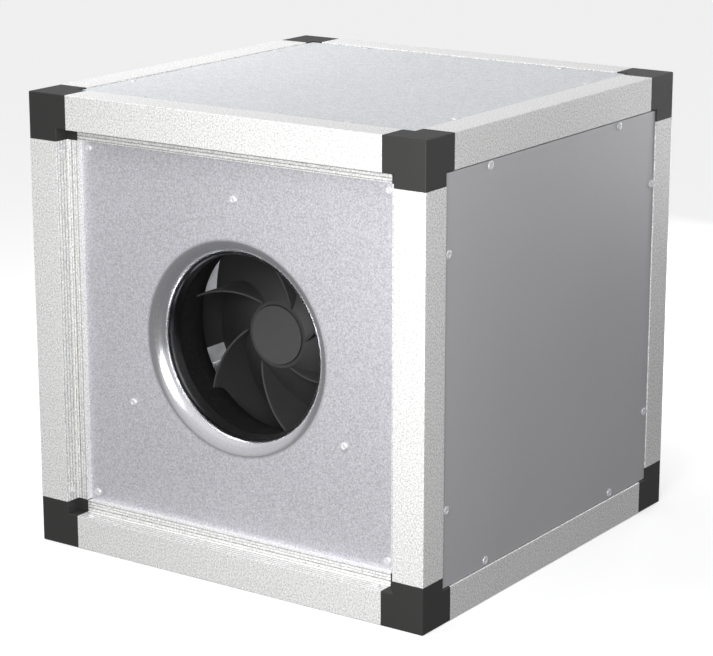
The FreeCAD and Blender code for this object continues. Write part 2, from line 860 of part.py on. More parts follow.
def inlet_plate_screws():
    """Four screws through the plate's corners into the cleats."""
    screw = fastener(
        "plate_screw", size.plate_screw_head / 2, size.plate_screw_head_height,
        size.plate_screw_shank / 2, size.plate_sheet + size.cleat_sheet)
    turned = FreeCAD.Rotation(Z_AXIS, Y_AXIS * -1)
    places = [((x, plate_face, z), turned) for x, z in plate_screw_spots()]
    group("inlet_plate_screws", screw, places, fan_origin)


def cleat_master():
    """An angle cleat: one leg behind the plate, the other against the tube's inner side."""
    body = new_body("cleat", keep=False)
    sheet_width = size.cleat_sheet
    outline = [
        (0, 0),
        (cleat_length, 0),
        (cleat_length, size.cleat_leg),
        (cleat_length - sheet_width, size.cleat_leg),
        (cleat_length - sheet_width, sheet_width),
        (0, sheet_width),
    ]
    pad_both_ways(body, new_sketch(body, "XY_Plane", [outline]), size.cleat_height)
    to_plate_screw = cleat_length - size.lip_reach - size.plate_screw_inset
    drill(body, 1, as_size(0), sheet_width, 1, [(to_plate_screw, 0, size.plate_screw_shank / 2)])
    drill(body, 0, cleat_length, sheet_width, -1, [(cleat_screw_height, 0, size.corner_screw_shank / 2)])
    return body


def inlet_plate_cleats():
    """Four cleats and the screws that hold them to the uprights."""
    cleat = cleat_master()
    screw = fastener(
        "cleat_screw", size.corner_screw_head / 2, size.corner_screw_head_height,
        size.corner_screw_shank / 2, size.cleat_sheet + size.profile_wall)
    inner = half[0] - face
    cleats = []
    screws = []
    for x, z in plate_screw_spots():
        hand = 1 if x.value > 0 else -1
        turned = FreeCAD.Rotation() if hand > 0 else column_rotation(X_AXIS * -1, Y_AXIS, Z_AXIS * -1)
        cleats.append((((inner - cleat_length) * hand, plate_back, z), turned))
        seat = ((inner - size.cleat_sheet) * hand, plate_back + cleat_screw_height, z)
        screws.append((seat, FreeCAD.Rotation(Z_AXIS, X_AXIS * -hand)))
    group("inlet_plate_cleats", cleat, cleats, fan_origin)
    group("cleat_screws", screw, screws, fan_origin)


# ---------------------------------------------------------------- motor support

def support_arm(label, angle):
    """A bent strap: foot on the plate, run past the impeller, and an arm in to the motor flange."""
    body = new_body(label, fan_origin, spin(angle))
    thick = size.arm_sheet
    outer = arm_inner + thick
    back = flange_back + thick
    end = size.motor_screw_radius - size.arm_end_margin
    outline = [
        (arm_inner - size.arm_foot_length, plate_back),
        (outer, plate_back),
        (outer, back),
        (end, back),
        (end, flange_back),
        (arm_inner, flange_back),
        (arm_inner, plate_back + thick),
        (arm_inner - size.arm_foot_length, plate_back + thick),
    ]
    pad_both_ways(body, new_sketch(body, "XY_Plane", [outline]), size.arm_width)
    foot_hole = (arm_bolt_circle, 0, size.arm_bolt_shank / 2 + size.screw_hole_gap)
    drill(body, 1, plate_back, thick, 1, [foot_hole])
    end_hole = (size.motor_screw_radius, 0, size.motor_screw_shank / 2 + size.screw_hole_gap)
    drill(body, 1, flange_back, thick, 1, [end_hole])


def support_bolts():
    """Bolts through the plate and the arms' feet, and their nuts."""
    grip = size.plate_sheet + size.arm_sheet + size.arm_nut_height + size.arm_bolt_proud
    bolt = fastener(
        "arm_bolt", size.arm_bolt_head / 2, size.arm_bolt_head_height, size.arm_bolt_shank / 2, grip)
    turned = FreeCAD.Rotation(Z_AXIS, Y_AXIS * -1)
    places = [(around(arm_bolt_circle, plate_face, angle), turned) for angle in ARM_ANGLES]
    group("support_bolts", bolt, places, fan_origin)
    nut = new_body("arm_nut_master", keep=False)
    across = size.arm_nut / 2
    corner_half = across / math.sqrt(3)
    corner_far = corner_half * 2
    hexagon = [
        (corner_far, 0),
        (corner_half, across),
        (-corner_half, across),
        (-corner_far, 0),
        (-corner_half, -across),
        (corner_half, -across),
    ]
    outline = new_sketch(nut, "XZ_Plane", [hexagon], [(0, 0, size.arm_bolt_shank / 2)])
    pad(nut, outline, size.arm_nut_height, reverse=True)
    seat = plate_back + size.arm_sheet
    spots = [(around(arm_bolt_circle, seat, angle), FreeCAD.Rotation()) for angle in ARM_ANGLES]
    group("support_nuts", nut, spots, fan_origin)


# ---------------------------------------------------------------- impeller

def impeller_shroud():
    """Neck over the bellmouth's throat, flared out to a flat rim."""
    body = new_body("impeller_shroud", fan_origin)
    sheet_width = size.shroud_sheet
    inner_end = neck_radius + shroud_flare
    outer = neck_radius + sheet_width
    turn(body, [
        (neck_radius, neck_start),
        (outer, neck_start),
        (outer, neck_end, shroud_flare - sheet_width, "right"),
        (inner_end, shroud_rim - sheet_width),
        (size.impeller_radius, shroud_rim - sheet_width),
        (size.impeller_radius, shroud_rim),
        (inner_end, shroud_rim, shroud_flare, "left"),
        (neck_radius, neck_end),
    ])


def cone_depth(radius):
    """The depth of the hub's front side at a radius."""
    return hub_front + (radius - nose_radius) * hub_slope


def impeller_hub():
    """A cone from the nose out to the rim, with a skirt behind it whose shoulder the rotor screws to."""
    body = new_body("impeller_hub", fan_origin)
    wall = size.hub_sheet
    shoulder_inside = size.rotor_radius + size.rotor_flange_gap
    turn(body, [
        (hub_hole, hub_front),
        (nose_radius, hub_front),
        (size.impeller_radius, hub_rim),
        (size.impeller_radius, hub_rim + wall),
        (skirt_radius, skirt_front),
        (skirt_radius, shoulder_back),
        (shoulder_inside, shoulder_back),
        (shoulder_inside, shoulder_front),
        (skirt_inside, shoulder_front),
        (skirt_inside, cone_depth(skirt_inside) + wall),
        (nose_radius, hub_front + wall),
        (hub_hole, hub_front + wall),
    ])
    drill(body, 1, shoulder_front, size.hub_shoulder, 1, impeller_screw_spots())


def impeller_screw_spots():
    """The six places of the impeller's screws, as (x, z, radius)."""
    spots = [around(impeller_screw_radius, 0, angle) for angle in range(0, 360, 60)]
    return [(x, z, size.impeller_screw_shank / 2) for x, _, z in spots]


def rounded_face(points):
    """A flat face from an outline of (x, y) and (x, y, radius, side) points, in numbers."""
    edges = []
    corners = [FreeCAD.Vector(as_size(p[0]).value, as_size(p[1]).value, 0) for p in points]
    for index, point in enumerate(points):
        start = corners[index]
        stop = corners[(index + 1) % len(points)]
        if len(point) == 4:
            edges.append(arc_between(start, stop, as_size(point[2]).value, point[3]).toShape())
        else:
            edges.append(Part.LineSegment(start, stop).toShape())
    return Part.Face(Part.Wire(Part.__sortEdges__(edges)))


def blade_passage():
    """The space between hub and shroud that the blades fill, turned about the fan's axis."""
    rim = size.impeller_radius - size.blade_rim_gap
    flare = shroud_flare
    face_outline = rounded_face([
        (nose_radius, hub_front - size.blade_nose_rise),
        (nose_radius, hub_front),
        (rim, cone_depth(rim)),
        (rim, shroud_rim),
        (neck_radius + flare, shroud_rim, flare, "left"),
        (neck_radius, neck_end),
    ])
    return face_outline.revolve(FreeCAD.Vector(0, 0, 0), Y_AXIS, 360)


def blade_wire():
    """One blade's outline across the axis: an arc from inside the nose to beyond the rim, thickened."""
    margin = size.blade_thickness.value * 2
    reach = size.impeller_radius.value + margin
    root = nose_radius.value - margin
    half_thick = size.blade_thickness.value / 2
    spots = []
    for share in (0.0, 0.5, 1.0):
        radius = root + (reach - root) * share
        angle = math.radians(BLADE_START + BLADE_SWEEP * share)
        spots.append(FreeCAD.Vector(radius * math.cos(angle), 0, radius * math.sin(angle)))
    camber = Part.Arc(*spots).toShape().Curve
    sides = []
    for offset in (-half_thick, half_thick):
        sides.append([spot + (spot - camber.Center).normalize() * offset for spot in spots])
    inner, outer = sides
    return Part.Wire([
        Part.Arc(*inner).toShape(),
        Part.LineSegment(inner[2], outer[2]).toShape(),
        Part.Arc(outer[2], outer[1], outer[0]).toShape(),
        Part.LineSegment(outer[0], inner[0]).toShape(),
    ])


def impeller_blades():
    """Backward-curved blades, trimmed to the hub and the shroud."""
    strip = Part.Face(blade_wire()).extrude(FreeCAD.Vector(0, (hub_rim + size.hub_sheet).value, 0))
    blade = strip.common(blade_passage()).Solids[0]
    blades = []
    for number in range(BLADES):
        copy = blade.copy()
        copy.rotate(FreeCAD.Vector(0, 0, 0), Y_AXIS, 360 / BLADES * number)
        blades.append(copy)
    node = doc.addObject("Part::Feature", "impeller_blades")
    node.Label = "impeller_blades"
    node.Shape = Part.makeCompound(blades)
    place(node, fan_origin)
    nodes.append(node)


def impeller_screws():
    """Screws from behind through the rotor's flange into the hub's shoulder."""
    seat = shoulder_back + size.hub_sheet
    screw = fastener(
        "impeller_screw", size.impeller_screw_head / 2, size.impeller_screw_head_height,
        size.impeller_screw_shank / 2, size.hub_sheet + size.hub_shoulder)
    turned = FreeCAD.Rotation(Z_AXIS, Y_AXIS)
    places = [((x, seat, z), turned) for x, z, _ in impeller_screw_spots()]
    group("impeller_screws", screw, places, fan_origin)


# ---------------------------------------------------------------- motor

def rotor_shell():
    """The motor's turning outer cup with its front boss, its fixing flange and its shaft bore."""
    body = new_body("rotor_shell", fan_origin)
    wall = size.rotor_wall
    flange_outside = skirt_inside - size.rotor_flange_gap
    turn(body, [
        (size.shaft_radius, boss_front + wall),
        (0, boss_front + wall),
        (0, boss_front),
        (size.rotor_boss_radius, boss_front),
        (size.rotor_boss_radius, rotor_front),
        (size.rotor_radius, rotor_front),
        (size.rotor_radius, shoulder_back),
        (flange_outside, shoulder_back),
        (flange_outside, shoulder_back + size.hub_sheet),
        (size.rotor_radius, shoulder_back + size.hub_sheet),
        (size.rotor_radius, rotor_rear),
        (rotor_bore, rotor_rear),
        (rotor_bore, rotor_front + wall),
        (size.shaft_radius, rotor_front + wall),
    ])
    drill(body, 1, shoulder_back, size.hub_sheet, 1, impeller_screw_spots())


def rotor_core():
    """The ring of rotor laminations inside the cup."""
    body = new_body("rotor_core", fan_origin)
    turn(body, rectangle(core_bore, stator_front, rotor_bore, stator_rear))


def rotor_shaft():
    """The shaft in the boss and both bearings, with a groove for its circlip."""
    body = new_body("rotor_shaft", fan_origin)
    groove = rear_bearing + size.bearing_width
    groove_end = groove + size.circlip_thickness
    deep = size.shaft_radius - size.circlip_depth
    turn(body, [
        (0, boss_front + size.rotor_wall),
        (size.shaft_radius, boss_front + size.rotor_wall),
        (size.shaft_radius, groove),
        (deep, groove),
        (deep, groove_end),
        (size.shaft_radius, groove_end),
        (size.shaft_radius, flange_back),
        (0, flange_back),
    ])


def shaft_circlip():
    """The ring that keeps the rear bearing on the shaft."""
    body = new_body("shaft_circlip", fan_origin)
    start = rear_bearing + size.bearing_width
    deep = size.shaft_radius - size.circlip_depth
    turn(body, rectangle(deep, start, size.circlip_radius, start + size.circlip_thickness))


def bearings():
    """Two deep-groove bearings: outer rings in the tube, inner rings on the shaft, balls between."""
    outer = new_body("bearing_outer_master", keep=False)
    outer_bore = size.bearing_outer_radius - size.bearing_ring_wall
    turn(outer, rectangle(outer_bore, 0, size.bearing_outer_radius, size.bearing_width))
    inner = new_body("bearing_inner_master", keep=False)
    inner_outside = size.shaft_radius + size.bearing_ring_wall
    turn(inner, rectangle(size.shaft_radius, 0, inner_outside, size.bearing_width))
    starts = (front_bearing, rear_bearing)
    still = FreeCAD.Rotation()
    group("bearing_outer_rings", outer, [((0, start, 0), still) for start in starts], fan_origin)
    group("bearing_inner_rings", inner, [((0, start, 0), still) for start in starts], fan_origin)
    ball = doc.addObject("Part::Sphere", "bearing_ball_master")
    bind(ball, "Radius", (outer_bore - inner_outside) / 2 - size.bearing_ball_gap)
    pitch = (outer_bore + inner_outside) / 2
    places = []
    for start in starts:
        for number in range(BEARING_BALLS):
            spot = around(pitch, start + size.bearing_width / 2, 360 / BEARING_BALLS * number)
            places.append((spot, still))
    group("bearing_balls", ball, places, fan_origin)


def stator_core():
    """Laminated ring with open slots round its outside."""
    body = new_body("stator_core", fan_origin)
    ring = [(0, 0, stator_radius), (0, 0, tube_radius)]
    pad(body, new_sketch(body, "XZ_Plane", (), ring, -stator_front), stator_stack, reverse=True)
    slot = new_sketch(body, "XZ_Plane", [slot_outline(stator_radius + size.slot_overcut)], (), -stator_front)
    cut = pocket(body, slot, stator_stack)
    repeat_round(body, cut, STATOR_SLOTS)


def slot_outline(outer):
    """The section of one slot, from near the tube out to a radius."""
    inner = tube_radius + size.winding_inset
    return rectangle(inner, -size.slot_width / 2, outer, size.slot_width / 2)


def repeat_round(body, feature, count):
    """Repeat a feature about the body's Y axis."""
    doc.recompute()
    pattern = body.newObject("PartDesign::PolarPattern", f"{body.Name}_pattern")
    pattern.Originals = [feature]
    axis = next(item for item in body.Origin.OriginFeatures if item.Role == "Y_Axis")
    pattern.Axis = (axis, [""])
    pattern.Angle = 360
    pattern.Occurrences = count
    body.Tip = pattern


def stator_windings():
    """Copper in the slots, joined by the winding heads at both ends of the stack."""
    body = new_body("stator_windings", fan_origin)
    inner = tube_radius + size.winding_inset
    outer = stator_radius - size.winding_inset
    front = stator_front - size.winding_overhang
    rear = stator_rear + size.winding_overhang
    turn(body, rectangle(inner, front, outer, stator_front))
    turn(body, rectangle(inner, stator_rear, outer, rear))
    bar = new_sketch(body, "XZ_Plane", [slot_outline(outer)], (), -stator_front)
    repeat_round(body, pad(body, bar, stator_stack, reverse=True), STATOR_SLOTS)


def stator_flange():
    """The motor's fixed rear flange and the tube that carries both bearings and the stator."""
    body = new_body("stator_flange", fan_origin)
    stop_radius = size.bearing_outer_radius - size.bearing_ring_wall
    turn(body, [
        (size.bearing_outer_radius, tube_front),
        (tube_radius, tube_front),
        (tube_radius, flange_front),
        (size.flange_radius, flange_front),
        (size.flange_radius, flange_back),
        (size.bearing_outer_radius, flange_back),
        (size.bearing_outer_radius, rear_bearing),
        (stop_radius, rear_bearing),
        (stop_radius, front_bearing + size.bearing_width),
        (size.bearing_outer_radius, front_bearing + size.bearing_width),
    ])
    holes = []
    for angle in ARM_ANGLES:
        x, _, z = around(size.motor_screw_radius, 0, angle)
        holes.append((x, z, size.motor_screw_shank / 2))
    x, _, z = around(size.lead_exit_radius, 0, LEAD_ANGLE)
    holes.append((x, z, size.lead_diameter / 2))
    drill(body, 1, flange_front, size.flange_thickness, 1, holes)


def motor_screws():
    """Screws through the arms' inner ends into the motor flange."""
    screw = fastener(
        "motor_screw", size.motor_screw_head / 2, size.motor_screw_head_height,
        size.motor_screw_shank / 2, size.arm_sheet + size.flange_thickness)
    turned = FreeCAD.Rotation(Z_AXIS, Y_AXIS)
    seat = flange_back + size.arm_sheet
    places = [(around(size.motor_screw_radius, seat, angle), turned) for angle in ARM_ANGLES]
    group("motor_screws", screw, places, fan_origin)


# ---------------------------------------------------------------- electrical pieces

box_low_x = -(half[0] - face - size.box_side_gap)
cleat_top = lip_end + size.plate_screw_inset + size.cleat_height / 2
box_low_z = cleat_top + size.box_cleat_gap - half[2]
box_back = plate_back + size.box_depth
box_middle = size.box_size / 2
gland_near = box_middle - size.gland_pitch / 2
gland_far = box_middle + size.gland_pitch / 2
gland_thread = size.gland_radius - size.gland_step


def box_frame():
    """The terminal box's low corner on the back of the inlet plate, in the model's frame."""
    return (box_low_x, plate_back - half[1], box_low_z + half[2])


def box_post_spots():
    """The four screw posts inside the box, in the box's own frame."""
    near = size.box_wall + size.box_post / 2
    far = size.box_size - near
    return [(x, z) for x in (near, far) for z in (near, far)]


def terminal_box_base():
    """An open box with a floor against the plate and posts for the lid."""
    body = new_body("terminal_box_base", box_frame())
    wall = size.box_wall
    side = size.box_size
    pad(body, new_sketch(body, "XZ_Plane", [rectangle(0, 0, side, side)]), size.box_depth, reverse=True)
    hollow = rectangle(wall, wall, side - wall, side - wall)
    pocket(body, new_sketch(body, "XZ_Plane", [hollow], (), -wall), size.box_depth - wall)
    posts = []
    for x, z in box_post_spots():
        post = size.box_post / 2
        posts.append(rectangle(x - post, z - post, x + post, z + post))
    pad(body, new_sketch(body, "XZ_Plane", posts, (), -wall), size.box_depth - wall, reverse=True)
    drilled = [(x, z, size.box_screw_shank / 2) for x, z in box_post_spots()]
    drill(body, 1, size.box_depth / 2, size.box_depth / 2, 1, drilled)


def terminal_box_lid():
    """A flat lid on the box's rear rim, with a hole for each gland."""
    body = new_body("terminal_box_lid", box_frame())
    drilled = [(x, z, size.box_screw_shank / 2 + size.screw_hole_gap) for x, z in box_post_spots()]
    drilled += [(x, box_middle, gland_thread) for x in (gland_near, gland_far)]
    outline = [rectangle(0, 0, size.box_size, size.box_size)]
    sketch = new_sketch(body, "XZ_Plane", outline, drilled, -size.box_depth)
    pad(body, sketch, size.box_lid, reverse=True)


def terminal_box_screws():
    """Four lid screws."""
    screw = fastener(
        "lid_screw", size.box_screw_head / 2, size.box_screw_head_height,
        size.box_screw_shank / 2, size.box_lid + size.box_screw_grip)
    turned = FreeCAD.Rotation(Z_AXIS, Y_AXIS)
    seat = size.box_depth + size.box_lid
    places = [((x, seat, z), turned) for x, z in box_post_spots()]
    group("terminal_box_screws", screw, places, box_frame())


def terminal_block():
    """A row of clamp terminals on the box's floor."""
    body = new_body("terminal_block", box_frame())
    wall = size.box_wall
    low = box_middle - size.terminal_block_length / 2
    high = box_middle + size.terminal_block_length / 2
    lower = box_middle - size.terminal_block_width / 2
    upper = box_middle + size.terminal_block_width / 2
    step = (high - low) / TERMINAL_WAYS
    pad(body, new_sketch(body, "XZ_Plane", [rectangle(low, lower, high, upper)], (), -wall),
        size.terminal_block_height / 2, reverse=True)
    blocks = []
    for number in range(TERMINAL_WAYS):
        start = low + step * number
        stop = start + step - size.terminal_gap
        blocks.append(rectangle(start, lower + size.terminal_step, stop, upper - size.terminal_step))
    pad(body, new_sketch(body, "XZ_Plane", blocks, (), -wall), size.terminal_block_height, reverse=True)


def box_glands():
    """Two glands in the lid: one for the supply and one for the motor's lead."""
    body = new_body("gland_master", keep=False)
    bore = size.lead_diameter / 2
    inside = size.box_lid + size.gland_thread_proud
    turn_upright(body, [
        (bore, -inside),
        (gland_thread, -inside),
        (gland_thread, 0),
        (size.gland_radius, 0),
        (size.gland_radius, size.gland_length * GLAND_GRIP_SHARE),
        (gland_thread, size.gland_length),
        (bore, size.gland_length),
    ])
    seat = size.box_depth + size.box_lid
    turned = FreeCAD.Rotation(Z_AXIS, Y_AXIS)
    places = [((x, seat, box_middle), turned) for x in (gland_near, gland_far)]
    group("terminal_box_glands", body, places, box_frame())


def lead_route():
    """The motor lead's corner points in the fan's frame: out of the flange, across, into the box's lid."""
    exit_x, _, exit_z = (part.value for part in around(size.lead_exit_radius, 0, LEAD_ANGLE))
    back = (flange_back + size.lead_run_back).value
    gland_x = (box_low_x + gland_far).value
    gland_z = (box_low_z + box_middle).value
    return [
        FreeCAD.Vector(exit_x, flange_front.value, exit_z),
        FreeCAD.Vector(exit_x, back, exit_z),
        FreeCAD.Vector(gland_x, back, gland_z),
        FreeCAD.Vector(gland_x, (box_back - size.lead_tail).value, gland_z),
    ]


def rounded_path(points, radius):
    """Straight runs joined by tangent arcs of one radius."""
    edges = []
    last = points[0]
    for before, middle, after in zip(points, points[1:], points[2:]):
        back = (before - middle).normalize()
        ahead = (after - middle).normalize()
        half_angle = back.getAngle(ahead) / 2
        cut = radius / math.tan(half_angle)
        start = middle + back * cut
        stop = middle + ahead * cut
        centre = middle + (back + ahead).normalize() * (radius / math.sin(half_angle))
        top = centre + (middle - centre).normalize() * radius
        edges.append(Part.LineSegment(last, start).toShape())
        edges.append(Part.Arc(start, top, stop).toShape())
        last = stop
    edges.append(Part.LineSegment(last, points[-1]).toShape())
    return Part.Wire(edges)


def motor_lead():
    """The lead from the motor's flange to the terminal box."""
    bend = size.lead_diameter.value * LEAD_BEND_DIAMETERS
    path = rounded_path(lead_route(), bend)
    ring = Part.Circle(lead_route()[0], Y_AXIS, size.lead_diameter.value / 2).toShape()
    tube = path.makePipeShell([Part.Wire([ring])], True, False)
    expected = math.pi * (size.lead_diameter.value / 2) ** 2 * path.Length
    print("motor lead: bend radius", bend, "length", round(path.Length, 1),
          "volume ratio", round(tube.Volume / expected, 5))
    node = doc.addObject("Part::Feature", "motor_lead")
    node.Label = "motor_lead"
    node.Shape = tube
    place(node, fan_origin)
    nodes.append(node)


def entry_grommet():
    """A rubber grommet through the left panel for the supply cable, level with the casing's face."""
    spot, turned, _ = panel_frame("left")
    (x, y), = entry_spot("left")
    position = (spot[0], spot[1] + x, spot[2] + y)
    body = new_body("entry_grommet", position, turned)
    inner_face = size.panel_setback + panel_thickness
    bead = inner_face + size.grommet_bead
    turn_upright(body, [
        (size.grommet_bore, 0),
        (size.grommet_flange - size.grommet_bevel, 0),
        (size.grommet_flange, size.panel_setback),
        (size.grommet_body, size.panel_setback),
        (size.grommet_body, inner_face),
        (size.grommet_flange, inner_face),
        (size.grommet_flange - size.grommet_bevel, bead),
        (size.grommet_bore, bead),
    ])


# ---------------------------------------------------------------- build and write

def build():
    """Make every piece."""
    for axis in range(3):
        for first in (-1, 1):
            for second in (-1, 1):
                signs = [0, 0, 0]
                signs[(axis + 1) % 3] = first
                signs[(axis + 2) % 3] = second
                profile(axis, signs)
    for x in (-1, 1):
        for y in (-1, 1):
            for z in (-1, 1):
                corner((x, y, z))
    corner_screws()
    layers = [panel(side) for side in PANEL_TURNS]
    joined_node("panel_wool", [wool for wool, _ in layers])
    joined_node("panel_inner_skins", [inner for _, inner in layers])
    panel_gaskets()
    panel_screws()
    inlet_plate()
    inlet_plate_screws()
    inlet_plate_cleats()
    for word, angle in zip(("top", "left", "right"), ARM_ANGLES):
        support_arm(f"support_arm_{word}", angle)
    support_bolts()
    impeller_shroud()
    impeller_hub()
    impeller_blades()
    impeller_screws()
    rotor_shell()
    rotor_core()
    rotor_shaft()
    shaft_circlip()
    bearings()
    stator_core()
    stator_windings()
    stator_flange()
    motor_screws()
    terminal_box_base()
    terminal_box_lid()
    terminal_box_screws()
    terminal_block()
    box_glands()
    motor_lead()
    entry_grommet()
    doc.recompute()


def check():
    """Stop when an object failed or a piece is not sound."""
    for thing in doc.Objects:
        bad = [state for state in thing.State if state in ("Invalid", "Error")]
        if bad:
            raise RuntimeError(f"{thing.Label} did not build: {bad}")
    for node in nodes:
        shape = node.Shape
        if shape.isNull() or not shape.isValid() or not shape.Solids:
            raise RuntimeError(f"{node.Label} is not a sound solid")


def write():
    """Write one STEP file per node."""
    os.makedirs("parts", exist_ok=True)
    for node in nodes:
        node.Shape.exportStep(f"parts/{node.Label}.step")
        print(f"{node.Label}: {len(node.Shape.Solids)} solid(s), {node.Shape.Volume / 1000:.2f} cm3")
    print(len(nodes), "nodes")


build()
check()
write()
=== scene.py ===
"""Looks of the insulated box fan: studio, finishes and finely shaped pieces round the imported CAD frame."""
import json
import math

import bmesh
import bpy
import numpy as np
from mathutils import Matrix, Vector


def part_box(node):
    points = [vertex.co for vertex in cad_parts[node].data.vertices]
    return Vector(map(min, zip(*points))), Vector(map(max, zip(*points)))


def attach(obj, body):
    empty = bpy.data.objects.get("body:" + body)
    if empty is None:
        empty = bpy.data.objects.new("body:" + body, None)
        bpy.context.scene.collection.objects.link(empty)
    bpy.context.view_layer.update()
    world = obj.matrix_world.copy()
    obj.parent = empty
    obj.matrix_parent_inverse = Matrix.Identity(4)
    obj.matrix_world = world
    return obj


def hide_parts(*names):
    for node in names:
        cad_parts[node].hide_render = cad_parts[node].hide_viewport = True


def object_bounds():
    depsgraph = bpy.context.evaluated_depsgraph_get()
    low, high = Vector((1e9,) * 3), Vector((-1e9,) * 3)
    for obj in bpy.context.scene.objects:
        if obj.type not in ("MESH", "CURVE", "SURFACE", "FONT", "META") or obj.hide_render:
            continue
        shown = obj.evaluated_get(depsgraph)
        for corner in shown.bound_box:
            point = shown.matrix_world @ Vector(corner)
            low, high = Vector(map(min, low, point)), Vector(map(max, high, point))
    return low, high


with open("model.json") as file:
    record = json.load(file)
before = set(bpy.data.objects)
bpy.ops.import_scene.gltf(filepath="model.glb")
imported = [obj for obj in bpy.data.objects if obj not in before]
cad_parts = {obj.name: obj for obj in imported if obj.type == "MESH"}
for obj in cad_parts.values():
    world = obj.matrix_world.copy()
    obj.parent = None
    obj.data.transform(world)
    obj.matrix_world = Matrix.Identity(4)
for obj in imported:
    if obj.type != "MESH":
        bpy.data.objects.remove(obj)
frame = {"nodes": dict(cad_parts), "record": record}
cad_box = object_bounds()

MM = 0.001
TURN = 2 * math.pi

# the fan's axis: depth is counted from the inlet face along +Y, radius from the axis
plate_low, plate_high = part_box("inlet_plate")
casing_low, casing_high = cad_box
AXIS_HEIGHT = (casing_low.z + casing_high.z) / 2
INLET_FACE = casing_low.y
CASING_HALF = (casing_high.y - casing_low.y) / 2


# ---------------------------------------------------------------- shader arithmetic

class Wire:
    """A shader socket that takes part in plain arithmetic: each operation adds one Math node."""

    def __init__(self, finish, socket):
        self.finish = finish
        self.socket = socket

    def math(self, operation, *numbers):
        return self.finish.node("ShaderNodeMath", {"operation": operation}, dict(enumerate(numbers)))

    def __add__(self, other):
        return self.math("ADD", self, other)

    def __radd__(self, other):
        return self.math("ADD", other, self)

    def __sub__(self, other):
        return self.math("SUBTRACT", self, other)

    def __rsub__(self, other):
        return self.math("SUBTRACT", other, self)

    def __mul__(self, other):
        return self.math("MULTIPLY", self, other)

    def __rmul__(self, other):
        return self.math("MULTIPLY", other, self)

    def __pow__(self, other):
        return self.math("POWER", self, other)

    def __abs__(self):
        return self.math("ABSOLUTE", self)

    def sine(self):
        """A smooth wave from -1 to 1."""
        return self.math("SINE", self)

    def greater(self, other):
        """The larger of two numbers."""
        return self.math("MAXIMUM", self, other)

    def step(self, low, high):
        """0 below low, 1 above high, smooth between."""
        settings = {"interpolation_type": "SMOOTHSTEP"}
        return self.finish.node("ShaderNodeMapRange", settings, {0: self, 1: low, 2: high})


class Finish:
    """A material: one Principled shader, with the nodes that vary its inputs."""

    def __init__(self, name, **constants):
        self.material = bpy.data.materials.new(name)
        self.material.use_nodes = True
        self.tree = self.material.node_tree
        self.tree.nodes.clear()
        self.shader = self.tree.nodes.new("ShaderNodeBsdfPrincipled")
        output = self.tree.nodes.new("ShaderNodeOutputMaterial")
        self.tree.links.new(self.shader.outputs[0], output.inputs[0])
        for key, value in constants.items():
            self.set(key.replace("_", " ").title().replace("Ior", "IOR"), value)

    def node(self, kind, settings, inputs, output=0):
        """Adds a node: its settings first, then values or links of its sockets; gives back one output."""
        made = self.tree.nodes.new(kind)
        for key, value in settings.items():
            setattr(made, key, value)
        for key, value in inputs.items():
            self.feed(made.inputs[key], value)
        return Wire(self, made.outputs[output])

    def feed(self, socket, value):
        """Links a wire to a socket, or stores a number or a colour in it."""
        if isinstance(value, Wire):
            self.tree.links.new(value.socket, socket)
        elif socket.type == "RGBA":
            socket.default_value = (*value[:3], 1)
        else:
            socket.default_value = value

    def set(self, name, value):
        """Sets an input of the main shader."""
        self.feed(self.shader.inputs[name], value)
        return self

    def place(self, stretch=(1, 1, 1)):
        """Object coordinates in metres, centred on the casing and stretched."""
        spot = self.node("ShaderNodeTexCoord", {}, {}, 3)
        centre = (0, 0, -AXIS_HEIGHT * stretch[2])
        return self.node("ShaderNodeMapping", {}, {0: spot, 1: centre, 3: stretch})

    def noise(self, scale, detail=2.0, roughness=0.5, stretch=(1, 1, 1)):
        """Cloudy noise from 0 to 1; scale is in cells a metre."""
        inputs = {"Vector": self.place(stretch), "Scale": scale, "Detail": detail, "Roughness": roughness}
        return self.node("ShaderNodeTexNoise", {}, inputs)

    def cells(self, scale):
        """Random grey for each cell of a crystal pattern."""
        inputs = {"Vector": self.place(), "Scale": scale}
        colour = self.node("ShaderNodeTexVoronoi", {}, inputs, 1)
        return self.node("ShaderNodeSeparateColor", {}, {0: colour}, 0)

    def grain(self, fine_cells, wide_cells, fine_detail=(2.0, 0.6), coarse_cells=150):
        """Fine, coarse and wide noise about zero: the grain of sheet and profiles."""
        fine = self.noise(fine_cells, *fine_detail) - 0.5
        coarse = self.noise(coarse_cells, 3.0, 0.6) - 0.5
        wide = self.noise(wide_cells, 3.0, 0.55) - 0.5
        return fine, coarse, wide

    def spot(self):
        """Across, along and above the fan's axis, in metres."""
        place = self.node("ShaderNodeTexCoord", {}, {}, 3)
        split = self.node("ShaderNodeSeparateXYZ", {}, {0: place}).socket.node
        across, along, height = (Wire(self, socket) for socket in split.outputs)
        return across, along, height - AXIS_HEIGHT

    def about_axis(self):
        """The radius from the fan's axis and the depth from the inlet face, in metres."""
        across, along, height = self.spot()
        return (across * across + height * height) ** 0.5, along - INLET_FACE

    def mix(self, factor, first, second):
        """A colour from the first to the second."""
        return self.node("ShaderNodeMix", {"data_type": "RGBA"}, {0: factor, 6: first, 7: second}, 2)

    def tint(self, colour, amount):
        """A colour made lighter or darker by a factor."""
        vector = colour if isinstance(colour, Wire) else tuple(colour)
        return self.node("ShaderNodeVectorMath", {"operation": "SCALE"}, {0: vector, 3: amount})

    def bump(self, height, distance, strength=1.0):
        """Relief whose height is in metres at a factor of one."""
        inputs = {"Strength": strength, "Distance": distance, "Height": height}
        self.set("Normal", self.node("ShaderNodeBump", {}, inputs))
        return self


def paint_ramp(ramp, stops):
    """Fills a colour ramp from (position, colour) stops."""
    while len(ramp.elements) > 1:
        ramp.elements.remove(ramp.elements[-1])
    for index, (position, colour) in enumerate(stops):
        element = ramp.elements[0] if index == 0 else ramp.elements.new(position)
        element.position = position
        element.color = (*colour, 1)


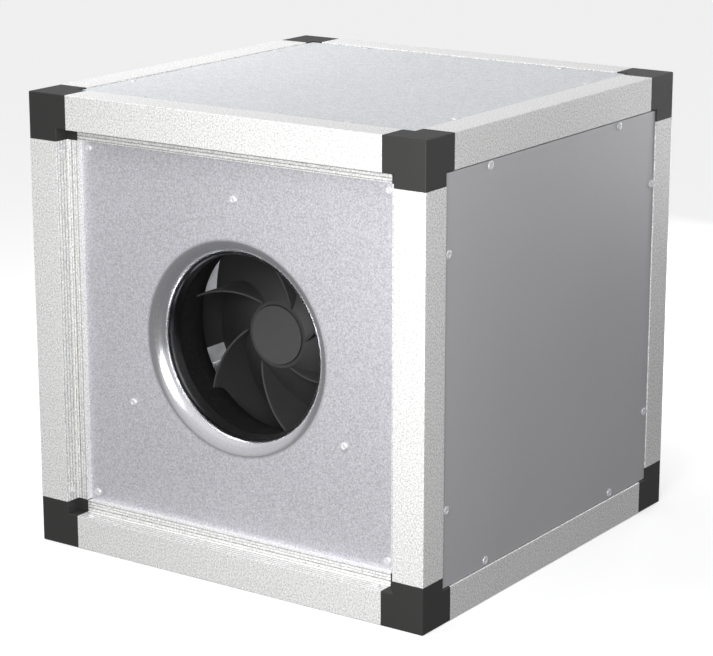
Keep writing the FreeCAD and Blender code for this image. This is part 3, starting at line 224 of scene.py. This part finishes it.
# ---------------------------------------------------------------- finishes

def grained_metal(name, colour, metallic, roughness, grain, cloud, relief, cells=620):
    """Bare or coated sheet: a fine grain and wide, faint clouds in colour and gloss."""
    finish = Finish(name, metallic=metallic)
    fine, coarse, wide = finish.grain(cells, 7)
    lightness = 1 + fine * grain + coarse * (grain * 0.35) + wide * cloud
    finish.set("Base Color", finish.tint(colour, lightness))
    finish.set("Roughness", roughness + coarse * 0.12 + wide * 0.08)
    return finish.bump(fine + coarse * 0.5, relief)


# the ribs of the frame's lips and rebate walls, in metres from the fan's axis or from the casing's end
LIP_REACH = (0.2134, 0.2138)
WALL_REACH = (0.2122, 0.2126)
RIB_DEPTH = (0.029, 0.031)
LIP_RIB_PITCH = 0.0034
WALL_RIB_PITCH = 0.0045


def ribbed_aluminium():
    """The frame's profiles: grain on the outside, fine ribs drawn along the lips and the rebate's walls,
    their grooves darkened with painted shade.
    """
    finish = Finish("grained_aluminium", metallic=0.3)
    across, along, height = finish.spot()
    reach = abs(across).greater(abs(height))
    depth = CASING_HALF - abs(along)
    inside = (1 - reach.step(*LIP_REACH)) * (1 - depth.step(*RIB_DEPTH))
    wall = inside * reach.step(*WALL_REACH)
    lip_ribs = (reach * (TURN / LIP_RIB_PITCH)).sine() * (inside - wall)
    wall_ribs = (depth * (TURN / WALL_RIB_PITCH)).sine() * wall
    rib_relief_and_shade = (lip_ribs + wall_ribs).step(0.35, 0.9)
    fine, coarse, wide = finish.grain(560, 7, (1.0, 0.5), coarse_cells=210)
    lightness = 1 + fine * 1.35 + coarse * 0.15 + wide * 0.06
    # painted shade: the rib lines darken the base colour by up to 40% as shade in the grooves; the same
    # lines also cut the ribs' real relief in the bump below
    finish.set("Base Color", finish.tint((0.83, 0.83, 0.82), lightness * (1 - rib_relief_and_shade * 0.4)))
    finish.set("Roughness", 0.42 + coarse * 0.12)
    return finish.bump(fine + coarse * 0.5 - rib_relief_and_shade * 2, 0.00012)


def spangled_sheet():
    """Hot-dip galvanised sheet: crystal cells of slightly different grey and gloss."""
    finish = Finish("galvanised_inner_sheet", metallic=0.6)
    crystals = finish.cells(85)
    fine = finish.noise(500, 2.0, 0.6) - 0.5
    wide = finish.noise(6, 3.0, 0.55) - 0.5
    lightness = 0.9 + crystals * 0.2 + fine * 0.2 + wide * 0.15
    finish.set("Base Color", finish.tint((0.55, 0.56, 0.575), lightness))
    finish.set("Roughness", 0.34 + crystals * 0.16)
    return finish.bump(crystals + fine, 0.00005)


def zinc_screws():
    """Bright zinc with faint smears."""
    finish = Finish("bright_zinc", metallic=0.45)
    smear = finish.noise(400, 3.0, 0.6) - 0.5
    finish.set("Base Color", finish.tint((0.78, 0.78, 0.80), 1 + smear * 0.3))
    finish.set("Roughness", 0.42 + smear * 0.2)
    return finish.bump(smear, 0.00004)


# where the plate's grain gives way to the bell's shine, in metres from the fan's axis
BELL_EDGE = (0.1130, 0.1180)


def spun_steel():
    """The inlet plate: grained coated sheet, worked to a shine in the bell's curve with fine draw rings."""
    finish = Finish("drawn_inlet_sheet")
    radius, depth = finish.about_axis()
    worked = 1 - radius.step(*BELL_EDGE)
    fine = finish.noise(560, 1.0, 0.5) - 0.5
    coarse = finish.noise(150, 3.0, 0.6) - 0.5
    wide = finish.noise(5, 3.0, 0.5) - 0.5
    rings = ((radius + depth) * 5200 + finish.noise(60) * 3).sine()
    grain = fine * 1.0 + coarse * 0.12 + wide * 0.14
    plain = finish.tint((0.61, 0.605, 0.645), 1 + grain)
    shiny = finish.tint((0.80, 0.80, 0.825), 1 + grain * 0.2 + rings * 0.02)
    finish.set("Base Color", finish.mix(worked, plain, shiny))
    finish.set("Metallic", 0.45 + worked * 0.55)
    finish.set("Roughness", 0.44 - worked * 0.25 + coarse * 0.06 + rings * 0.015 * worked)
    return finish.bump((fine + coarse * 0.5) * (1 - worked * 0.85) + rings * worked * 0.08, 0.00008)


def moulded_plastic(name, colour, roughness, speckle=0.12, relief=0.00004):
    """Matt injection-moulded plastic with a fine spark-eroded texture."""
    finish = Finish(name, specular_ior_level=0.35)
    texture = finish.noise(900, 2.0, 0.6) - 0.5
    cloud = finish.noise(18, 3.0, 0.5) - 0.5
    finish.set("Base Color", finish.tint(colour, 1 + texture * speckle + cloud * 0.18))
    finish.set("Roughness", roughness + cloud * 0.12)
    return finish.bump(texture, relief)


def speckled_neck():
    """Black plastic whose neck is rough and salted with fine light grains."""
    finish = Finish("black_neck_plastic", specular_ior_level=0.3)
    grains = finish.noise(850, 1.0, 0.5)
    salt = grains.step(0.56, 0.72)
    cloud = finish.noise(20, 3.0, 0.5) - 0.5
    finish.set("Base Color", finish.tint((0.0055, 0.0055, 0.006), 1 + salt * 4.5 + cloud * 0.5))
    finish.set("Roughness", 0.62 + cloud * 0.1)
    return finish.bump(grains, 0.00015)


def wool_fibres():
    """Pale mineral wool, matted in layers."""
    finish = Finish("matted_wool", roughness=0.95)
    fibres = finish.noise(260, 6.0, 0.75, stretch=(1, 1, 5))
    finish.set("Base Color", finish.mix(fibres, (0.30, 0.26, 0.14), (0.62, 0.57, 0.40)))
    return finish.bump(fibres, 0.001)


def copper_wire():
    """Enamelled winding wire packed side by side."""
    finish = Finish("enamelled_copper", metallic=0.7, coat_roughness=0.2)
    strands = (finish.noise(900, 1.0) * 30).sine()
    finish.set("Base Color", finish.mix(strands * 0.5 + 0.5, (0.45, 0.16, 0.06), (0.62, 0.27, 0.11)))
    finish.set("Roughness", 0.32 + strands * 0.06)
    return finish.bump(strands, 0.0001)


def soft_rubber(name, colour):
    """Dull rubber or cable sheath with faint dust."""
    finish = Finish(name, specular_ior_level=0.4)
    dust = finish.noise(80, 4.0, 0.6)
    finish.set("Base Color", finish.tint(colour, 0.8 + dust * 0.6))
    finish.set("Roughness", 0.55 + dust * 0.2)
    return finish.bump(finish.noise(700, 2.0), 0.00004)


FINISHES = {
    "frame_aluminium": ribbed_aluminium(),
    "panel_steel": grained_metal(
        "smooth_panel_steel", (0.55, 0.55, 0.565), 0.35, 0.42, 0.10, 0.05, 0.00003),
    "inlet_steel": spun_steel(),
    "support_steel": spangled_sheet(),
    "corner_plastic": moulded_plastic("charcoal_corner_plastic", (0.030, 0.030, 0.029), 0.6),
    "impeller_plastic": moulded_plastic("black_impeller_plastic", (0.040, 0.040, 0.0405), 0.65),
    "box_plastic": moulded_plastic("grey_box_plastic", (0.32, 0.33, 0.335), 0.5),
    "block_plastic": moulded_plastic("cream_block_plastic", (0.62, 0.60, 0.53), 0.45),
    "gland_plastic": moulded_plastic("black_gland_plastic", (0.02, 0.02, 0.02), 0.42),
    "rotor_metal": grained_metal(
        "black_rotor_paint", (0.060, 0.060, 0.061), 0.1, 0.55, 0.15, 0.10, 0.00004),
    "core_steel": grained_metal(
        "dark_core_steel", (0.12, 0.12, 0.125), 0.6, 0.5, 0.3, 0.2, 0.00008),
    "shaft_steel": grained_metal(
        "ground_steel", (0.55, 0.55, 0.55), 1.0, 0.25, 0.1, 0.05, 0.00002),
    "flange_aluminium": grained_metal(
        "cast_aluminium", (0.42, 0.42, 0.43), 0.6, 0.55, 0.5, 0.15, 0.0003),
    "screw_zinc": zinc_screws(),
    "copper": copper_wire(),
    "mineral_wool": wool_fibres(),
    "foam_rubber": soft_rubber("black_foam", (0.02, 0.02, 0.02)),
    "lead_sheath": soft_rubber("black_sheath", (0.018, 0.018, 0.019)),
    "grommet_rubber": soft_rubber("black_grommet", (0.018, 0.018, 0.018)),
}
TOP_SHEET = grained_metal(
    "galvanised_top_sheet", (0.64, 0.655, 0.67), 0.15, 0.50, 1.1, 0.05, 0.00006, 560)
INNER_SHEET = spangled_sheet()
NECK = speckled_neck()


def dress_frame():
    """Gives every CAD node the finish of its own slot."""
    slots = {part["node"]: part["material_slot"] for part in frame["record"]["subparts"]}
    for name, node in frame["nodes"].items():
        node.data.materials.clear()
        node.data.materials.append(FINISHES[slots[name]].material)
    own = {"panel_top_outer_skin": TOP_SHEET, "panel_inner_skins": INNER_SHEET, "impeller_shroud": NECK}
    for name, finish in own.items():
        frame["nodes"][name].data.materials[0] = finish.material


# ---------------------------------------------------------------- surfaces

def to_world(radius, depth, angle):
    """Cylinder coordinates about the fan's axis, in millimetres, to points of the frame in metres."""
    x = radius * np.cos(angle) * MM
    z = radius * np.sin(angle) * MM + AXIS_HEIGHT
    y = depth * MM + INLET_FACE
    return np.stack(np.broadcast_arrays(x, y, z), axis=-1)


def grid_faces(rows, columns, wrap_rows=False, wrap_columns=False):
    """Quads between neighbours of a grid of points, optionally joined end to end either way."""
    down = np.arange(rows if wrap_rows else rows - 1)
    along = np.arange(columns if wrap_columns else columns - 1)
    row, column = np.meshgrid(down, along, indexing="ij")
    below, right = (row + 1) % rows, (column + 1) % columns
    here, there = row * columns, below * columns
    return np.stack((here + column, here + right, there + right, there + column), axis=-1).reshape(-1, 4)


def make_piece(name, points, faces, body, slot, finish=None, sharp=30.0, replaces=()):
    """A mesh from whole arrays, with outward faces, riding on its body and standing for CAD nodes."""
    mesh = bpy.data.meshes.new(name)
    faces = faces.tolist() if isinstance(faces, np.ndarray) else faces
    mesh.from_pydata(np.asarray(points, float).reshape(-1, 3).tolist(), [], faces)
    mesh.shade_smooth()
    mesh.set_sharp_from_angle(angle=math.radians(sharp))
    piece = bpy.data.objects.new(name, mesh)
    bpy.context.scene.collection.objects.link(piece)
    mesh.materials.append((finish or FINISHES[slot]).material)
    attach(piece, body)
    if replaces:
        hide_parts(*replaces)
    return piece


# ---------------------------------------------------------------- inlet plate

BELL_RADIUS = 20.0
THROAT_RADIUS = 97.0
PLATE_SHEET = 1.25
PLATE_FACE = (plate_low.y - INLET_FACE) / MM
THROAT_END = (plate_high.y - INLET_FACE) / MM
PLATE_RAYS = 384
FLAT_STEPS, BELL_STEPS, THROAT_STEPS = 13, 24, 5


def bell_section(sheet):
    """(radius, depth) over the bell's quarter circle and along the throat, pushed in by the sheet."""
    bend = BELL_RADIUS - sheet
    quarter = np.linspace(0, math.pi / 2, BELL_STEPS)
    curve_radius = THROAT_RADIUS + BELL_RADIUS - bend * np.sin(quarter)
    curve_depth = PLATE_FACE + BELL_RADIUS - bend * np.cos(quarter)
    straight = np.linspace(curve_depth[-1], THROAT_END, THROAT_STEPS + 1)[1:]
    return (np.concatenate([curve_radius, np.full(THROAT_STEPS, THROAT_RADIUS + sheet)]),
            np.concatenate([curve_depth, straight]))


def inlet_plate():
    """Rays from the square edge to the bell and over it, front and back, joined at both rims."""
    angle = (np.arange(PLATE_RAYS) + 0.5) / PLATE_RAYS * TURN
    half = (plate_high.x - plate_low.x) / 2 / MM
    edge = half / np.maximum(abs(np.cos(angle)), abs(np.sin(angle)))
    start = THROAT_RADIUS + BELL_RADIUS
    rows = []
    for sheet in (0.0, PLATE_SHEET):
        share = np.linspace(0, 1, FLAT_STEPS + 1)[:-1, None] ** 0.8
        flat_radius = edge[None, :] * (1 - share) + start * share
        flat = to_world(flat_radius, np.full_like(flat_radius, PLATE_FACE + sheet), angle[None, :])
        radius, depth = bell_section(sheet)
        bell = to_world(radius[:, None], depth[:, None], angle[None, :])
        side = np.concatenate([flat, bell])
        rows.append(side if sheet == 0 else side[::-1])
    points = np.concatenate(rows)
    faces = grid_faces(len(points), PLATE_RAYS, wrap_rows=True, wrap_columns=True)
    return make_piece("inlet_plate_with_bell", points, faces, "casing", "inlet_steel",
                      replaces=["inlet_plate"])


# ---------------------------------------------------------------- screw heads

def loose_solids(name):
    """Lowest and highest corner of each separate solid in a CAD node, from its welded triangles."""
    mesh = frame["nodes"][name].data
    spots = np.empty(len(mesh.vertices) * 3)
    mesh.vertices.foreach_get("co", spots)
    spots = spots.reshape(-1, 3)
    corners = np.empty(len(mesh.loops), int)
    mesh.loops.foreach_get("vertex_index", corners)
    corners = corners.reshape(-1, 3)
    _, same = np.unique(np.round(spots / (0.01 * MM)).astype(int), axis=0, return_inverse=True)
    same = same.ravel()
    label = np.arange(same.max() + 1)
    while True:
        lowest = np.minimum.reduce(label[same[corners]], axis=1)
        before = label.copy()
        np.minimum.at(label, same[corners].ravel(), np.repeat(lowest, 3))
        label = label[label]
        if (label == before).all():
            break
    group = label[same]
    return [(spots[group == key].min(0), spots[group == key].max(0)) for key in np.unique(group)]


def cross_recess(across, along, radius):
    """1 inside a cross-shaped dip whose arms taper off near their ends."""
    arm = np.minimum(abs(across), abs(along)) / (radius * 0.15)
    reach = np.maximum(abs(across), abs(along)) / (radius * 0.56)
    return np.clip(1.4 - arm, 0, 1) * np.clip((1.15 - reach) * 3, 0, 1)


def hexagon_recess(across, along, radius):
    """1 inside a six-sided socket."""
    wedge = np.arctan2(along, across) % (TURN / 6) - TURN / 12
    reach = np.hypot(across, along) * np.cos(wedge) / (radius * 0.48)
    return np.clip((1.1 - reach) * 6, 0, 1)


SCREW_SIDES = 36
# rings of a head as shares of its radius, and how far its crown falls off at the rim
HEAD_RINGS = np.array([1.0, 0.97, 0.9, 0.78, 0.66, 0.54, 0.44, 0.34, 0.24, 0.14, 0.05])
CROWN_FALL, CROWN_POWER = 0.38, 5
TIP_SHARE = 0.02
SPIN_STEP = 1.7


def one_screw(radius, height, shank_radius, shank_length, recess, dip):
    """Rows of points from the shank's tip over the head's rim to the bottom of its recess, seat at zero."""
    angle = np.arange(SCREW_SIDES) / SCREW_SIDES * TURN
    shank = [TIP_SHARE * shank_radius, shank_radius, shank_radius, radius]
    spread = np.concatenate([shank, radius * HEAD_RINGS])
    dome = height * (1 - CROWN_FALL * HEAD_RINGS ** CROWN_POWER)
    lift = np.concatenate([[-shank_length, -shank_length, 0, 0], dome])
    across = spread[:, None] * np.cos(angle)
    along = spread[:, None] * np.sin(angle)
    lift = lift[:, None] * np.ones_like(angle)
    lift[4:] -= dip * recess(across[4:], along[4:], radius)
    return across, along, lift


def screw_set(name, node, sizes, heads, recess, body="casing", slot="screw_zinc"):
    """One detailed screw for each of a node's; `heads` tells from its box which way a head looks."""
    radius, height, shank_radius, dip = sizes
    points, faces = [], []
    for number, (low, high) in enumerate(loose_solids(node)):
        axis, sign = heads(low, high)
        length = (high - low)[axis] / MM - height
        across, along, lift = one_screw(radius, height, shank_radius, length, recess, dip)
        rows, columns = across.shape
        normal = np.eye(3)[axis] * sign
        first = np.roll(normal, 1)
        second = np.cross(normal, first)
        centre = (low + high) / 2
        centre[axis] = (high if sign > 0 else low)[axis] - sign * height * MM
        spin = number * SPIN_STEP
        turned_x = across * math.cos(spin) - along * math.sin(spin)
        turned_y = across * math.sin(spin) + along * math.cos(spin)
        local = turned_x[..., None] * first + turned_y[..., None] * second + lift[..., None] * normal
        start = len(points) * rows * columns
        sides = grid_faces(rows, columns, wrap_columns=True) + start
        tip = start + np.arange(columns)[::-1]
        top = start + (rows - 1) * columns + np.arange(columns)
        faces += sides.tolist() + [tip.tolist(), top.tolist()]
        points.append(centre + MM * local)
    return make_piece(name, np.array(points), faces, body, slot, sharp=38, replaces=[node])


def face_outwards(low, high):
    """Heads on the casing's outer faces: the axis whose face is nearest to the casing's."""
    gaps = [min(low[axis] - casing_low[axis], casing_high[axis] - high[axis]) for axis in (0, 2)]
    axis = (0, 2)[int(np.argmin(gaps))]
    return axis, (1 if casing_high[axis] - high[axis] < low[axis] - casing_low[axis] else -1)


def face_inwards(low, high):
    """Heads on the frame's inner sides: the long way of the screw, towards the casing's middle."""
    axis = int(np.argmax(high - low))
    middle = (0, 0, AXIS_HEIGHT)[axis]
    return axis, (1 if (low + high)[axis] / 2 < middle else -1)


def face_inlet(low, high):
    """Heads that look at the inlet side."""
    return 1, -1


def face_outlet(low, high):
    """Heads that look at the outlet side."""
    return 1, 1


# name, CAD node, (head radius and height, shank radius, depth of the recess) in mm, the head's side, drive
CASING_SCREWS = [
    ("panel_screws_crosshead", "panel_screws", (4.5, 1.2, 2.1, 0.7), face_outwards, cross_recess),
    ("corner_screws_crosshead", "corner_screws", (3.5, 2.0, 1.75, 1.0), face_inwards, cross_recess),
    ("cleat_screws_crosshead", "cleat_screws", (3.5, 2.0, 1.75, 1.0), face_inwards, cross_recess),
    ("plate_screws_crosshead", "inlet_plate_screws", (4.25, 2.2, 2.1, 0.45), face_inlet, cross_recess),
    ("arm_bolts_socket", "support_bolts", (4.0, 2.0, 2.5, 1.2), face_inlet, hexagon_recess),
    ("motor_screws_socket", "motor_screws", (4.5, 3.0, 2.5, 1.6), face_outlet, hexagon_recess),
    ("lid_screws_crosshead", "terminal_box_screws", (3.0, 2.0, 1.5, 1.0), face_outlet, cross_recess),
]
ROTOR_SCREW = (3.25, 2.2, 1.75, 1.2)


def all_screws():
    """Every fastener that shows, with the drive that suits it."""
    for row in CASING_SCREWS:
        screw_set(*row)
    screw_set("rotor_screws_socket", "impeller_screws", ROTOR_SCREW, face_outlet, hexagon_recess,
              body="impeller")


# ---------------------------------------------------------------- impeller blades

BLADES = 6
BLADE_START, BLADE_SWEEP = math.radians(111), math.radians(97)
BLADE_THICKNESS = 2.5
ROOT_RADIUS, RIM_RADIUS = 36.0, 156.5
NECK_RADIUS, NECK_END, FLARE = 100.5, 84.0, 46.0
HUB_FRONT, HUB_SLOPE = 100.0, 98.0 / 121.5
# the front edge's depth at the root, and how far both edges sink into the shroud and the hub
NOSE_EDGE, SUNK = 97.0, 0.4
BLADE_STEPS = 56
# rows from the front edge to the hub, and how thick the blade is at each: the front edge is round
BLADE_ROWS = np.array([0, 0.006, 0.018, 0.04, 0.1, 0.25, 0.4, 0.55, 0.7, 0.85, 1.0])[:, None]
BLADE_FULLNESS = np.array([0.15, 0.6, 0.86, 1, 1, 1, 1, 1, 1, 1, 1])[:, None]


def shroud_depth(radius):
    """The blades' front edge: slanted up to the neck, then the flare's quarter circle and its flat rim."""
    slant = (NOSE_EDGE - NECK_END) / (NECK_RADIUS - ROOT_RADIUS)
    inlet = NECK_END + slant * (NECK_RADIUS - radius)
    inward = np.clip(radius - NECK_RADIUS, 0, FLARE)
    flare = NECK_END + np.sqrt(FLARE ** 2 - (FLARE - inward) ** 2)
    return np.where(radius < NECK_RADIUS, inlet, flare - SUNK)


def hub_depth(radius):
    """The blades' rear edge on the hub's cone."""
    return HUB_FRONT + (radius - ROOT_RADIUS) * HUB_SLOPE + SUNK


def circle_through(first, middle, last):
    """Centre of the circle through three points of the plane, as complex numbers."""
    side = (last - first) / (middle - first)
    return (middle - first) * (side - abs(side) ** 2) / (side - side.conjugate()) + first


def blade_section():
    """A circular camber line about the axis and the blade's outline round it, both as closed loops."""
    margin = BLADE_THICKNESS * 2
    inner_end, outer_end = ROOT_RADIUS - margin, RIM_RADIUS + 1 + margin
    radii = np.array([inner_end, (inner_end + outer_end) / 2, outer_end])
    spots = radii * np.exp(1j * (BLADE_START + BLADE_SWEEP * np.array([0, 0.5, 1])))
    centre = circle_through(*spots)
    bend = abs(spots[0] - centre)
    sweep = np.unwrap(np.angle(spots - centre))
    dense = np.linspace(sweep[0], sweep[2], 2001)
    reach = abs(centre + bend * np.exp(1j * dense))
    start, stop = np.interp([ROOT_RADIUS + 0.3, RIM_RADIUS - 0.3], reach, dense)
    along = np.linspace(start, stop, BLADE_STEPS)
    count = np.arange(BLADE_STEPS)
    from_end = np.minimum(count, count[::-1]) / 2
    taper = np.sqrt(np.clip(1 - (1 - from_end).clip(0, 1) ** 2, 0.03, 1))
    outwards = np.exp(1j * along)
    thick = BLADE_THICKNESS / 2 * taper
    camber = centre + bend * outwards
    loop = np.concatenate([centre + (bend + thick) * outwards, (centre + (bend - thick) * outwards)[::-1]])
    return np.concatenate([camber, camber[::-1]]), loop


def impeller_blades():
    """The blade's section carried from the shroud to the hub's cone, and repeated round the axis."""
    line, loop = blade_section()
    section = line + (loop - line) * BLADE_FULLNESS
    radius = abs(section)
    front, rear = shroud_depth(abs(line)), hub_depth(abs(line))
    depth = front * (1 - BLADE_ROWS) + rear * BLADE_ROWS
    rows, columns = section.shape
    points, faces = [], []
    for number in range(BLADES):
        angle = np.angle(section) + TURN / BLADES * number
        start = number * section.size
        faces += (grid_faces(rows, columns, wrap_columns=True) + start).tolist()
        for row in (0, rows - 1):
            near = start + row * columns + np.arange(BLADE_STEPS - 1)
            far = start + row * columns + columns - 1 - np.arange(BLADE_STEPS - 1)
            quads = np.stack([near, near + 1, far - 1, far], axis=-1)
            faces += (quads[:, ::-1] if row == 0 else quads).tolist()
        points.append(to_world(radius, depth, angle))
    piece = make_piece("impeller_blades_round_edged", np.array(points), faces, "impeller",
                       "impeller_plastic", sharp=45, replaces=["impeller_blades"])
    return face_out(piece)


def face_out(piece):
    """Turns every face of a closed mesh outwards."""
    work = bmesh.new()
    work.from_mesh(piece.data)
    bmesh.ops.recalc_face_normals(work, faces=work.faces)
    work.to_mesh(piece.data)
    work.free()
    return piece


# ---------------------------------------------------------------- studio

FLOOR_RINGS = np.array([0.6, 1.5, 4.0, 12.0, 60.0])
FLOOR_SIDES = 64
FLOOR_DROP = 0.0004


def white_floor():
    """A wide pale disc just under the casing."""
    angle = np.arange(FLOOR_SIDES) / FLOOR_SIDES * TURN
    across, along = FLOOR_RINGS[:, None] * np.cos(angle), FLOOR_RINGS[:, None] * np.sin(angle)
    points = np.stack([across, along, np.full_like(across, -FLOOR_DROP)], axis=-1)
    faces = grid_faces(len(FLOOR_RINGS), FLOOR_SIDES, wrap_columns=True)[:, ::-1].tolist()
    mesh = bpy.data.meshes.new("studio_floor")
    mesh.from_pydata(points.reshape(-1, 3).tolist(), [], faces + [list(range(FLOOR_SIDES))])
    floor = bpy.data.objects.new("studio_floor", mesh)
    bpy.context.scene.collection.objects.link(floor)
    paint = Finish("pale_floor", base_color=(0.55, 0.55, 0.55), roughness=0.9, specular_ior_level=0.0,
                   emission_color=(1, 1, 1), emission_strength=0.52)
    mesh.materials.append(paint.material)
    floor.visible_glossy = False
    floor.visible_diffuse = False


# the sky's brightness from straight below, over the horizon, to straight above
SKY = [(0.0, (0.20, 0.20, 0.205)), (0.47, (0.26, 0.26, 0.265)), (0.53, (0.55, 0.55, 0.56)),
       (0.75, (0.62, 0.62, 0.63)), (1.0, (0.85, 0.85, 0.86))]
SKY_STRENGTH, GLOSS_EXTRA = 0.50, 0.55


def studio_world():
    """White behind everything; the sky that lights the object is brighter above and in its gloss."""
    world = bpy.data.worlds.new("studio")
    bpy.context.scene.world = world
    world.use_nodes = True
    tree = world.node_tree
    tree.nodes.clear()

    def node(kind, settings=(), inputs=()):
        made = tree.nodes.new(kind)
        for key, value in dict(settings).items():
            setattr(made, key, value)
        for key, value in dict(inputs).items():
            if isinstance(value, bpy.types.NodeSocket):
                tree.links.new(value, made.inputs[key])
            else:
                made.inputs[key].default_value = value
        return made

    scale_and_shift = {"operation": "MULTIPLY_ADD"}
    spot = node("ShaderNodeTexCoord")
    path = node("ShaderNodeLightPath")
    split = node("ShaderNodeSeparateXYZ", inputs={0: spot.outputs["Generated"]})
    height = node("ShaderNodeMath", scale_and_shift, {0: split.outputs[2], 1: 0.5, 2: 0.5})
    glossy = path.outputs["Is Glossy Ray"]
    strength = node("ShaderNodeMath", scale_and_shift, {0: glossy, 1: GLOSS_EXTRA, 2: SKY_STRENGTH})
    ramp = node("ShaderNodeValToRGB", inputs={0: height.outputs[0]})
    paint_ramp(ramp.color_ramp, SKY)
    glow = node("ShaderNodeBackground", inputs={0: ramp.outputs[0], 1: strength.outputs[0]})
    white = node("ShaderNodeBackground", inputs={0: (1, 1, 1, 1)})
    seen = path.outputs["Is Camera Ray"]
    mix = node("ShaderNodeMixShader", inputs={0: seen, 1: glow.outputs[0], 2: white.outputs[0]})
    node("ShaderNodeOutputWorld", inputs={0: mix.outputs[0]})


def lamp(name, kind, spot, target, power, size, glossy):
    """A soft light; size is a square's side in metres, or a sun's angle in degrees."""
    light = bpy.data.lights.new(name, kind)
    light.energy = power
    if kind == "AREA":
        light.shape = "RECTANGLE"
        light.size = light.size_y = size
    else:
        light.angle = math.radians(size)
    holder = bpy.data.objects.new(name, light)
    holder.visible_glossy = glossy
    aim(holder, spot, target)


def aim(holder, spot, target):
    """Puts a light or the camera in the scene at a spot, looking at a target."""
    bpy.context.scene.collection.objects.link(holder)
    holder.location = spot
    holder.rotation_mode = "QUATERNION"
    holder.rotation_quaternion = (Vector(target) - Vector(spot)).to_track_quat("-Z", "Y")


# name, kind, place, target, power, size, whether it shows in gloss
LAMPS = [
    ("key_sun", "SUN", (-2.4, -2.3, 3.2), (0, 0, AXIS_HEIGHT), 1.3, 30, False),
    ("side_softbox", "AREA", (0.44, -0.85, 0.50), (0.12, -0.25, 0.34), 4.6, 0.35, True),
    ("throat_fill", "AREA", (0.95, -1.9, 0.85), (0, -0.2, 0.25), 17, 0.9, True),
    ("top_softbox", "AREA", (-0.75, 0.0, 1.0), (-0.1, 0, 0.5), 6, 0.4, False),
    ("rear_softbox", "AREA", (0.2, 1.5, 0.45), (0, 0.1, 0.25), 16, 0.8, True),
]
CAMERA_SPOT = (1.4886, -2.1594, 0.9251)
CAMERA_TARGET = (-0.0025, 0.0, 0.2240)
LENS, SENSOR = 123.8, 36


def studio():
    """The camera, the lights and the floor."""
    white_floor()
    studio_world()
    for row in LAMPS:
        lamp(*row)
    camera = bpy.data.objects.new("camera", bpy.data.cameras.new("camera"))
    aim(camera, CAMERA_SPOT, CAMERA_TARGET)
    camera.data.lens = LENS
    camera.data.sensor_width = SENSOR
    camera.data.clip_end = 200
    bpy.context.scene.camera = camera
    bpy.context.scene.view_settings.view_transform = "Standard"


studio()
dress_frame()
inlet_plate()
all_screws()
impeller_blades()
